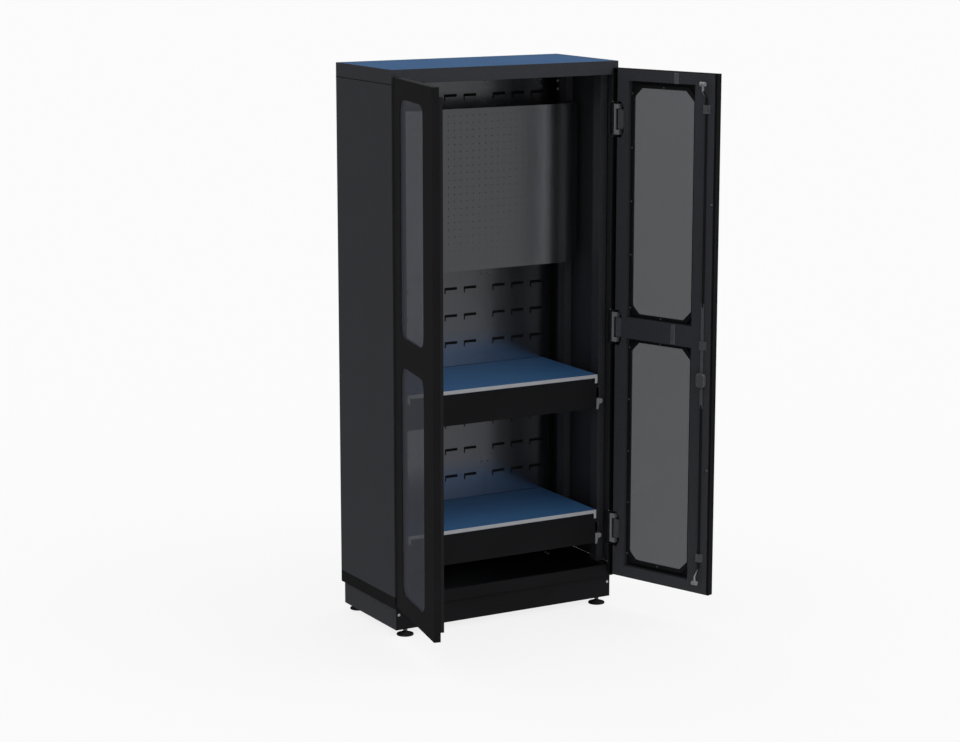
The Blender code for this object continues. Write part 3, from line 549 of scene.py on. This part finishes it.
# %% [markdown]
# ## Rolled and broken edges
#
# No edge of a folded or cut sheet is perfectly sharp: it catches a thin line of light. The edges of
# the solids could be left sharp and faked in the shader, but a real bevel also shows in outline.
# So each visible solid is copied, its loose triangles are merged into clean faces, and its edges
# are bevelled by what that piece would have: more on a casting, less on cut sheet.

# %% A copy with rounded edges
MERGE = 0.00002
FLAT = 0.5  # degrees between two triangles of one face
SHARP = 28  # degrees


def rounded_copy(node, width):
    """A copy of a solid with merged faces and bevelled edges."""
    copy = copy_of(nodes[node], node)
    alone(copy)
    bpy.ops.object.mode_set(mode="EDIT")
    bpy.ops.mesh.select_all(action="SELECT")
    bpy.ops.mesh.remove_doubles(threshold=MERGE)
    bpy.ops.mesh.dissolve_limited(angle_limit=math.radians(FLAT))
    bpy.ops.object.mode_set(mode="OBJECT")
    break_edges(copy, width, SHARP)
    bpy.ops.object.shade_smooth_by_angle(angle=math.radians(40))
    modify(copy, "WEIGHTED_NORMAL", keep_sharp=True)
    return settle(copy, f"{node}_rounded", body_of[node], slot_of[node], node)


print("edges sharper than", SHARP, "degrees will be broken")

# %% Copies with rounded edges
EDGES = {
    "plinth_frame": 0.0007, "base_tray": 0.0006, "top_cap": 0.0007, "top_mat": 0.0012,
    "side_panel": 0.0007, "rear_sheet": 0.0005, "hinge_bracket": 0.0008,
    "hinge_casting": 0.0012, "door_pan": 0.0007, "door_frame": 0.0006, "retainer": 0.0008,
    "closing_strip": 0.0005, "lock_case": 0.003, "handle_plate": 0.002, "door_handle": 0.003,
    "lock_rod": 0.0006, "shelf_board": 0.0008, "shelf_edge": 0.0004, "shelf_frame": 0.0005,
    "shelf_latch": 0.0012, "runner_frame": 0.0005,
}
rounded = {}
for node in nodes:
    for kind, width in EDGES.items():
        if kind in node:
            rounded[node] = rounded_copy(node, width)
faces = sum(len(piece.data.polygons) for piece in rounded.values())
print("rounded", len(rounded), "pieces,", faces, "faces")

# %% [markdown]
# ## Seam under the cap
#
# The solid model leaves a hair of space between the sheets, so that each stays a body of its own.
# The cap is closed onto the sides and the back with a thin black seal, so that no light comes
# through. Its black band, a little proud under the cap, is also painted shade of the seam. A plane
# of the body's size is inset to a ring, the ring loses its middle and its front, and what is left
# is extruded to the seal's height. A bevel rounds its edges.

# %% Seal under the cap
SEAL_HEIGHT = 0.003
# The seal stands a little proud of the cap, so that its black shows as painted shade of the seam.
SEAL_PROUD = 0.0004
SEAL_WIDTH = 0.0016
low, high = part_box("top_cap")
body_x, body_y = (low.x + high.x) / 2, (low.y + high.y) / 2
bpy.ops.object.select_all(action="DESELECT")
bpy.ops.mesh.primitive_plane_add(size=1)
seal = bpy.context.active_object
seal.scale = (high.x - low.x + 2 * SEAL_PROUD, high.y - low.y + 2 * SEAL_PROUD, 1)
seal.location = (body_x, body_y, low.z - SEAL_HEIGHT)
bpy.ops.object.transform_apply(location=True, scale=True)
bpy.ops.object.mode_set(mode="EDIT")
bpy.ops.mesh.select_all(action="SELECT")
bpy.ops.mesh.inset(thickness=SEAL_WIDTH, depth=0)
bpy.ops.mesh.delete(type="FACE")
pick(lambda spot: spot.y < low.y + 2 * SEAL_WIDTH)
bpy.ops.mesh.delete(type="FACE")
bpy.ops.mesh.select_all(action="SELECT")
bpy.ops.mesh.extrude_region_move(TRANSFORM_OT_translate={"value": (0, 0, SEAL_HEIGHT)})
bpy.ops.mesh.select_all(action="SELECT")
bpy.ops.mesh.normals_make_consistent(inside=False)
bpy.ops.object.mode_set(mode="OBJECT")
break_edges(seal, width=0.0003, sharper_than=40)
# Black rubber closes the gap; its band under the cap is painted shade of the seam.
settle(seal, "cap_seal", body_of["top_cap"], "black_rubber")
print("seal of", len(seal.data.polygons), "faces under the cap")

# %% [markdown]
# ## Perforated tool panel
#
# The panel hangs on the rear posts and takes hooks in its holes, 25 mm apart. Cutting hundreds of
# holes by Boolean is slow. One tile with one hole, repeated by two Array modifiers, gives the same
# sheet with clean faces. Its border and its folded sides are then extruded from the last edges.

# %% Tile with one hole
PITCH = 0.025
HOLE = 0.0019
ROUND = 12
bpy.ops.object.select_all(action="DESELECT")
bpy.ops.mesh.primitive_plane_add(size=PITCH, rotation=(math.pi / 2, 0, 0))
tool = bpy.context.active_object
bpy.ops.object.transform_apply(rotation=True)
bpy.ops.object.mode_set(mode="EDIT")
bpy.ops.mesh.subdivide(number_cuts=2)
bpy.ops.mesh.delete(type="ONLY_FACE")
pick(lambda spot: abs(spot.x) < PITCH / 3 and abs(spot.z) < PITCH / 3)
bpy.ops.mesh.delete(type="VERT")
bpy.ops.mesh.primitive_circle_add(vertices=ROUND, radius=HOLE, rotation=(math.pi / 2, 0, 0))
bpy.ops.mesh.select_all(action="SELECT")
bpy.ops.mesh.bridge_edge_loops()
bpy.ops.object.mode_set(mode="OBJECT")
print("tile of", len(tool.data.polygons), "faces")

# %% Sheet of tiles
SHEET = 0.0015
FLANGE = 0.031
MARGIN = 0.02  # least plain border, both sides together
tool_low, tool_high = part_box("tool_panel")
tool_middle = (tool_low + tool_high) / 2
size = tool_high - tool_low
face_width = size.x - 2 * FLANGE
columns = int((face_width - MARGIN) / PITCH)
rows = int((size.z - MARGIN) / PITCH)
near = PITCH / 1000
for count, step in ((columns, (PITCH, 0, 0)), (rows, (0, 0, PITCH))):
    modify(tool, "ARRAY", count=count, use_relative_offset=False, use_constant_offset=True,
           constant_offset_displace=step, use_merge_vertices=True, merge_threshold=near)
tool.location = (tool_middle.x - (columns - 1) * PITCH / 2, tool_low.y,
                 tool_middle.z - (rows - 1) * PITCH / 2)
alone(tool)
bpy.ops.object.transform_apply(location=True)
print("sheet of", columns, "by", rows, "holes")


# %% Its border, folded sides and flanges
def grow(axis, end, move, behind=-1):
    """Extrude the last edges of one side outward, or only those behind a depth."""
    edge = end(point.co[axis] for point in tool.data.vertices)
    pick(lambda spot: abs(spot[axis] - edge) < near and spot.y > behind)
    bpy.ops.mesh.extrude_edges_move(TRANSFORM_OT_translate={"value": move})
    bpy.ops.object.mode_set(mode="OBJECT")


side_border = (face_width - columns * PITCH) / 2
level_border = (size.z - rows * PITCH) / 2
grow(0, min, (-side_border, 0, 0))
grow(0, max, (side_border, 0, 0))
grow(2, min, (0, 0, -level_border))
grow(2, max, (0, 0, level_border))
for end, way in ((min, -1), (max, 1)):
    grow(0, end, (0, size.y - SHEET, 0))
    grow(0, end, (way * FLANGE, 0, 0), behind=tool_middle.y)
bpy.ops.object.mode_set(mode="EDIT")
bpy.ops.mesh.select_all(action="SELECT")
bpy.ops.mesh.normals_make_consistent(inside=False)
bpy.ops.object.mode_set(mode="OBJECT")
print("tool panel facing", round(tool.data.polygons[0].normal.y, 2))

# %% Thickness of the sheet
if tool.data.polygons[0].normal.y > 0:
    tool.data.flip_normals()
modify(tool, "SOLIDIFY", thickness=SHEET, offset=-1.0)
settle(tool, "perforated_tool_panel", body_of["tool_panel"], "panel_paint", "tool_panel")
tool.data.materials[0] = smoother.material
print("tool panel", len(tool.data.polygons), "faces")

# %% [markdown]
# ## Places on an open door
#
# The doors stand open at odd angles, so places on them are given as on a shut door: along it from
# its hinge edge, inward from its outer face, and up from the floor. The record's hinge tells where
# the door turns and how far it is open, and that turns such a place into one in the room.

# %% Places on an open door
HINGE_INSET = 0.012  # of the pin, from the hinge edge and from the outer face
SIDES = ("left", "right")
joints = {joint["name"]: joint for joint in behaviour["joints"]}
hinge, along_door, into_door = {}, {}, {}
for side in SIDES:
    joint = joints[f"{side}_door_hinge"]
    axis = Vector(joint["axis"])
    opened = Matrix.Rotation(math.radians(-joint["range_deg"][0]), 3, axis)
    hinge[side] = Vector(joint["pos_m"])
    along_door[side] = opened @ Vector((-axis.z, 0, 0))
    into_door[side] = opened @ Vector((0, 1, 0))


def on_door(side, along, inward, height):
    """A point of an open door, from its hinge edge, its outer face and the floor."""
    spot = hinge[side] + (along - HINGE_INSET) * along_door[side]
    spot += (inward - HINGE_INSET) * into_door[side]
    return Vector((spot.x, spot.y, height))


def depth_in_door(spot):
    """How far a point lies inward of the right door's outer face."""
    return (spot - hinge["right"]).dot(into_door["right"]) + HINGE_INSET


print("doors open by", *(round(-joints[f"{side}_door_hinge"]["range_deg"][0], 1) for side in SIDES))

# %% [markdown]
# ## Two finishes on one piece
#
# The plinth is grey, but its front is black. The rod guides are plated and the door frame round
# them is painted. Other second finishes are painted shade: black on the fronts of the rear sheet
# and the shelf boards, on the sides behind the back, and inside the tool panel and on its flanges.
# Such a piece gets a second material slot, and the faces that take it are chosen by where they are
# and which way they look. Cutting the piece in two would leave a seam.

# %% Second finishes of the body
def refinish(piece, slot, test):
    """Give the faces that pass a test another finish."""
    piece.data.materials.append(finishes[slot].material)
    for face in piece.data.polygons:
        if test(face.center, face.normal):
            face.material_index = len(piece.data.materials) - 1


AHEAD = Vector((0, -1, 0))
UP = Vector((0, 0, 1))
FACING = 0.5  # how much of a face's normal has to point one way
SIDEWAYS = 0.01
INNER = 0.8  # share of the sheet's thickness, past which a face is an inner one
inside_from = tool_low.y + INNER * SHEET
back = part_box("back_panel_middle")[0].y
# The plinth's black front is its paint. The black fronts of the rear sheet and the shelf boards are
# painted shade, in the slots and gaps of the back and under the aluminium edge of each shelf.
for node in ("plinth_frame", "rear_sheet", "upper_shelf_board", "lower_shelf_board"):
    refinish(rounded[node], "black_paint", lambda spot, facing: facing.dot(AHEAD) > FACING)
# Black on the sides' forward faces behind the back is painted shade, in the gaps beside the back.
for node in ("side_panel_left", "side_panel_right"):
    refinish(rounded[node], "black_paint",
             lambda spot, facing: facing.dot(AHEAD) > FACING and spot.y > back)
refinish(rounded["closing_strip_left"], "black_rubber", lambda spot, facing: True)
# Black inside the tool panel and on its flanges is painted shade, behind its brushed face.
refinish(tool, "black_paint", lambda spot, facing: spot.y > inside_from
         and facing.x * (spot.x - tool_middle.x) < SIDEWAYS)
print("second finishes on the plinth, the boards, the back, the sides and the tool panel")

# %% Second finishes of the lock
GUIDES_FROM = 0.0245  # inward of the door's outer face
ROLLERS_FROM = 0.046
BARS_MIDDLE = 0.975  # the rods are bare within this height, up and down by a half
BARS_HALF = 0.186
refinish(rounded["door_frame_right"], "steel",
         lambda spot, facing: depth_in_door(spot) > GUIDES_FROM)
for rod in ("lock_rod_upper", "lock_rod_lower"):
    refinish(rounded[rod], "black_paint",
             lambda spot, facing: abs(spot.z - BARS_MIDDLE) > BARS_HALF)
    refinish(rounded[rod], "chrome", lambda spot, facing: depth_in_door(spot) > ROLLERS_FROM)
print("second finishes on the rod guides, the rods and the rollers")

# %% [markdown]
# ## Screws and bolts
#
# A pan-head screw is a short cylinder whose top is drawn in to a dome, with a socket pressed into
# it. It is modelled once, from a cylinder and four insets, and every copy gets its own mesh. The
# copies on one body are joined, because they never move apart.

# %% One screw
SCREW_STEPS = ((0.20, 0.3), (0.25, 0.2), (0.12, 0.0), (0.04, -0.6))  # shares of radius and rise


def cylinder(sides, radius, low, high):
    """An upright cylinder on the axis through the origin."""
    bpy.ops.object.select_all(action="DESELECT")
    bpy.ops.mesh.primitive_cylinder_add(vertices=sides, radius=radius, depth=high - low,
                                        location=(0, 0, (low + high) / 2))
    bpy.ops.object.transform_apply(location=True)
    return bpy.context.active_object


def draw_in(height, steps):
    """Draw the top of a cylinder in and up, by steps of inward and upward distance."""
    pick(lambda spot: spot.z > height / 2)
    for inward, upward in steps:
        bpy.ops.mesh.inset(thickness=inward, depth=upward)


def pan_screw(radius, rise):
    """A screw's head with its socket, standing on the origin."""
    screw = cylinder(sides=12, radius=radius, low=0, high=rise / 2)
    draw_in(rise / 2, [(radius * inward, rise * upward) for inward, upward in SCREW_STEPS])
    bpy.ops.object.mode_set(mode="OBJECT")
    bpy.ops.object.shade_smooth_by_angle(angle=math.radians(50))
    return screw


small_screw = pan_screw(radius=0.0030, rise=0.0022)
bolt = pan_screw(radius=0.0050, rise=0.0034)
print("screw of", len(small_screw.data.polygons), "faces")


# %% Copies in place
def toward(spot, facing):
    """Place of a round piece whose axis points one way."""
    return Matrix.Translation(spot) @ UP.rotation_difference(facing).to_matrix().to_4x4()


def into(side, along, inward, height):
    """Place of a round piece on a door, pointing into the cabinet."""
    return toward(on_door(side, along, inward, height), into_door[side])


def upright(side, along, inward, height):
    """Place of a flat piece on the inside of a door, its length upright."""
    axes = (along_door[side], into_door[side].cross(along_door[side]), into_door[side])
    turn = Matrix(axes).transposed().to_4x4()
    return Matrix.Translation(on_door(side, along, inward, height)) @ turn


def scatter(source, name, body, slot, places):
    """Copies of a small piece at its places, joined on one body."""
    copies = [copy_of(source, name, place) for place in places]
    alone(*copies)
    bpy.ops.object.transform_apply(location=True, rotation=True)
    if len(copies) > 1:
        bpy.ops.object.join()
    settle(bpy.context.active_object, name, body, slot)
    print(name, len(copies))


print("helpers for places ready")

# %% [markdown]
# ## Pressed plates of the doors
#
# A short plated strap crosses the top and the middle rail of each door. It stands for a pale stripe
# of light that the rails mirror there: a painted reflection, built as a pressing. A leaf fills each
# hinge notch. Both are pressed from plated sheet. A flat cube whose upper face is drawn in and
# raised gives the sloping border of a pressing, and a small bevel takes the sharpness off. One
# strap could be stretched to both lengths, but that would stretch its border too.

# %% A pressed plate
BORDER = 0.0022
RIM = 0.4  # share of the size, past which a point is at the rim


def pressed_plate(width, length, thick, raised, corner=0.0):
    """A plate with a sloping border, and two cut corners if these are given."""
    bpy.ops.object.select_all(action="DESELECT")
    bpy.ops.mesh.primitive_cube_add(size=1, location=(0, 0, 0.5))
    plate = bpy.context.active_object
    bpy.ops.object.transform_apply(location=True)
    plate.scale = (width, length, thick)
    bpy.ops.object.transform_apply(scale=True)
    if corner:
        for way in (-1, 1):
            pick(lambda spot: spot.x > width * RIM and spot.y * way > length * RIM)
            bpy.ops.mesh.bevel(offset=corner, segments=1, affect="EDGES")
            bpy.ops.object.mode_set(mode="OBJECT")
    pick(lambda spot: spot.z > thick / 2)
    bpy.ops.mesh.inset(thickness=BORDER, depth=raised)
    bpy.ops.object.mode_set(mode="OBJECT")
    break_edges(plate, width=0.0003, sharper_than=15)
    return plate


leaf = pressed_plate(width=0.030, length=0.070, thick=0.0130, raised=0.0012, corner=0.011)
# The straps are a painted reflection: plated stripes where the top and middle rails mirror light.
REFLECTION_STRAP_LENGTHS = {"middle": 0.071, "top": 0.038}
reflection_straps = {rail: pressed_plate(width=0.020, length=length, thick=0.0006, raised=0.0009)
          for rail, length in REFLECTION_STRAP_LENGTHS.items()}
print("leaf of", len(leaf.data.polygons), "faces, straps for", *reflection_straps)

# %% Straps and leaves in place
FRAME_FACE = 0.024  # inside of the door frame, from the door's outer face
REFLECTION_STRAP_ALONG = 0.275
REFLECTION_STRAP_HEIGHTS = {"middle": 1.036, "top": 1.9300}
LEAF_ALONG = 0.0305
LEAF_INWARD = 0.0018
HINGES = ("low", "middle", "high")
for side in SIDES:
    for rail, reflection_strap in reflection_straps.items():
        spots = [upright(side, REFLECTION_STRAP_ALONG, FRAME_FACE, REFLECTION_STRAP_HEIGHTS[rail])]
        # Each strap is placed as a painted reflection on its rail.
        scatter(reflection_strap, f"{rail}_strap_{side}", f"{side}_door", "steel", spots)
    spots = []
    for place in HINGES:
        low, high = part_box(f"hinge_casting_{side}_{place}")
        spots.append(upright(side, LEAF_ALONG, LEAF_INWARD, (low.z + high.z) / 2))
    scatter(leaf, f"hinge_leaves_{side}", f"{side}_door", "steel", spots)

# %% [markdown]
# ## Screws of the glazing
#
# Each pane lies in a retainer, which small screws hold to the door all round: five up each side,
# and one in the middle of each end. Their heights come from the retainer's own box, so they follow
# it if the solid model changes.

# %% Screws of the glazing
RETAINER_FACE = 0.0101
RETAINER_SIDES = (0.076, 0.348)
RETAINER_MIDDLE = 0.212
SPACING = 0.190
FROM_END = 0.006
for side in SIDES:
    spots = []
    for tier in ("upper", "lower"):
        low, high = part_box(f"{tier}_retainer_{side}")
        middle = (low.z + high.z) / 2
        for along in RETAINER_SIDES:
            for step in range(-2, 3):
                spots.append(into(side, along, RETAINER_FACE, middle + step * SPACING))
        for height in (low.z + FROM_END, high.z - FROM_END):
            spots.append(into(side, RETAINER_MIDDLE, RETAINER_FACE, height))
    scatter(small_screw, f"glazing_screws_{side}", f"{side}_door", "steel", spots)

# %% [markdown]
# ## Screws of the lock
#
# Two screws hold each rod guide, one on either side of its rod, and four hold the lock's case. On
# the outside, two larger ones hold the plate of the handle.

# %% Screws of the lock
GUIDE_HEIGHTS = (0.250, 1.012, 1.832)
GUIDE_SIDES = (0.3948, 0.4172)
GUIDE_FOOT = 0.002
CASE_SIDES = (0.3955, 0.4165)
CASE_FACE = 0.0403
CASE_FROM_END = 0.008
spots = []
for height in GUIDE_HEIGHTS:
    for along in GUIDE_SIDES:
        spots.append(into("right", along, FRAME_FACE + GUIDE_FOOT, height))
low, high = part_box("lock_case")
for height in (low.z + CASE_FROM_END, high.z - CASE_FROM_END):
    for along in CASE_SIDES:
        spots.append(into("right", along, CASE_FACE, height))
scatter(small_screw, "lock_screws", "right_door", "steel", spots)

# %% Screws of the handle's plate
PLATE_ALONG = 0.406
PLATE_FACE = -0.0083  # outward of the door's outer face
PLATE_FROM_END = 0.009
low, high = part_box("handle_plate")
spots = []
for height in (low.z + PLATE_FROM_END, high.z - PLATE_FROM_END):
    spots.append(toward(on_door("right", PLATE_ALONG, PLATE_FACE, height), -into_door["right"]))
scatter(bolt, "handle_plate_screws", "right_door", "chrome", spots)

# %% [markdown]
# ## Studs of the free edge
#
# Two low round studs sit near the right door's free edge, where it meets the other door. A stud
# is a disc whose top is drawn in by three insets, each flatter than the last, which gives a smooth
# cap.

# %% Studs of the free edge
STUD_RADIUS = 0.0045
STUD_DISC = 0.002
STUD_STEPS = ((0.0006, 0.0009), (0.001, 0.0007), (0.0014, 0.0003))
STUD_ALONG = 0.4325
STUD_HEIGHTS = (0.570, 1.506)
stud = cylinder(sides=20, radius=STUD_RADIUS, low=0, high=STUD_DISC)
draw_in(STUD_DISC, STUD_STEPS)
bpy.ops.object.mode_set(mode="OBJECT")
bpy.ops.object.shade_smooth_by_angle(angle=math.radians(60))
spots = [into("right", STUD_ALONG, FRAME_FACE, height) for height in STUD_HEIGHTS]
scatter(stud, "edge_studs", "right_door", "steel", spots)

# %% [markdown]
# ## Bolts of the body
#
# Bright bolts hold each hinge bracket above and below its middle. Others show low on the front,
# high up inside and on the bottom tray. Both sides of the body have the same, so their places are
# measured from its middle.

# %% Bolts of the body
BRACKET_BOLT = (0.4305, -0.209)  # aside of the body's middle and behind it
BRACKET_HALF = 0.058
FRONT_BOLT = (0.430, -0.200, 0.080)
INSIDE_BOLT = (0.414, 0.140)
INSIDE_HEIGHTS = (1.855, 1.885)
TRAY_ASIDE = 0.390
TRAY_BEHIND = (0.150, 0.170)
TRAY_SHEET = 0.0015
tray_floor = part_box("base_tray")[0].z + TRAY_SHEET


def in_body(side, aside, behind, height):
    """A point of the body, from the middle of its width and depth and from the floor."""
    return Vector((body_x + side * aside, body_y + behind, height))


spots = []
for side in (-1, 1):
    for place in HINGES:
        low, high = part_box(f"hinge_bracket_right_{place}")
        for end in (-BRACKET_HALF, BRACKET_HALF):
            spot = in_body(side, *BRACKET_BOLT, (low.z + high.z) / 2 + end)
            spots.append(toward(spot, AHEAD))
    spots.append(toward(in_body(side, *FRONT_BOLT), AHEAD))
    for height in INSIDE_HEIGHTS:
        spots.append(toward(in_body(side, *INSIDE_BOLT, height), Vector((-side, 0, 0))))
    for behind in TRAY_BEHIND:
        spots.append(toward(in_body(side, TRAY_ASIDE, behind, tray_floor), UP))
scatter(bolt, "body_bolts", "cabinet", "aluminium", spots)

# %% [markdown]
# ## Rivets of the back panels
#
# The back is made of three panels, which are riveted to the sheet behind them along their joints.
# The small screw serves as a rivet, because from a step away only its round head shows.

# %% Rivets of the back panels
PANEL_JOINTS = (-0.140, 0.140)
RIVETS_ASIDE = (-0.012, 0.012)
RIVET_HEIGHTS = (0.484, 1.188, 1.540, 1.892)
spots = []
for joint in PANEL_JOINTS:
    for aside in RIVETS_ASIDE:
        for height in RIVET_HEIGHTS:
            spots.append(toward(Vector((body_x + joint + aside, back, height)), AHEAD))
scatter(small_screw, "back_rivets", "cabinet", "steel", spots)

# %% [markdown]
# ## Levelling feet
#
# A foot is a rubber pad, a threaded stud and a locking nut. The pad is a disc whose top face is
# drawn up in steps by insets. The stud goes on from the last inset by extrusion, a ridge at a time,
# which reads as a thread from a step away. The nut is a six-sided cylinder with broken corners.

# %% One foot
PAD_RADIUS = 0.030
PAD_DISC = 0.004
PAD_STEPS = ((0.0012, 0.001), (0.004, 0.0004), (0.002, -0.0012), (0.0108, 0.0070),
             (0.0005, 0.001), (0.0065, 0.0003))
RIDGES = 26
RIDGE_HEIGHT = 0.0018
GROOVE = 0.88  # of the ridge's radius
foot = cylinder(sides=40, radius=PAD_RADIUS, low=0, high=PAD_DISC)
draw_in(PAD_DISC, PAD_STEPS)
for ridge in range(RIDGES):
    swell = GROOVE if ridge % 2 else 1 / GROOVE
    bpy.ops.mesh.extrude_region_move(TRANSFORM_OT_translate={"value": (0, 0, RIDGE_HEIGHT)})
    bpy.ops.transform.resize(value=(swell, swell, 1), center_override=(0, 0, 0))
bpy.ops.object.mode_set(mode="OBJECT")
bpy.ops.object.shade_smooth_by_angle(angle=math.radians(35))
top = max(point.co.z for point in foot.data.vertices)
print("foot", round(top, 4), "m high,", len(foot.data.polygons), "faces")

# %% Its nut, and four of each
NUT_RADIUS = 0.0085
NUT_LOW = 0.0166
NUT_HIGH = 0.0246
nut = cylinder(sides=6, radius=NUT_RADIUS, low=NUT_LOW, high=NUT_HIGH)
break_edges(nut, width=0.0008, sharper_than=30)
for corner in ("front_left", "front_right", "rear_left", "rear_right"):
    node = f"levelling_foot_{corner}"
    low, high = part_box(node)
    place = Matrix.Translation(((low.x + high.x) / 2, (low.y + high.y) / 2, 0))
    pad_copy = copy_of(foot, "foot_pad", place)
    settle(pad_copy, f"foot_pad_{corner}", body_of[node], "black_rubber", node)
    nut_copy = copy_of(nut, "foot_nut", place)
    settle(nut_copy, f"foot_nut_{corner}", body_of[node], "steel")
print("four feet with nuts of", len(nut.data.polygons), "faces")

# %% [markdown]
# ## Pieces only copied from
#
# The pieces that were only copied from are taken away.

# %% Pieces only copied from are removed
for source in (small_screw, bolt, stud, foot, nut, leaf, *reflection_straps.values()):
    bpy.data.objects.remove(source)
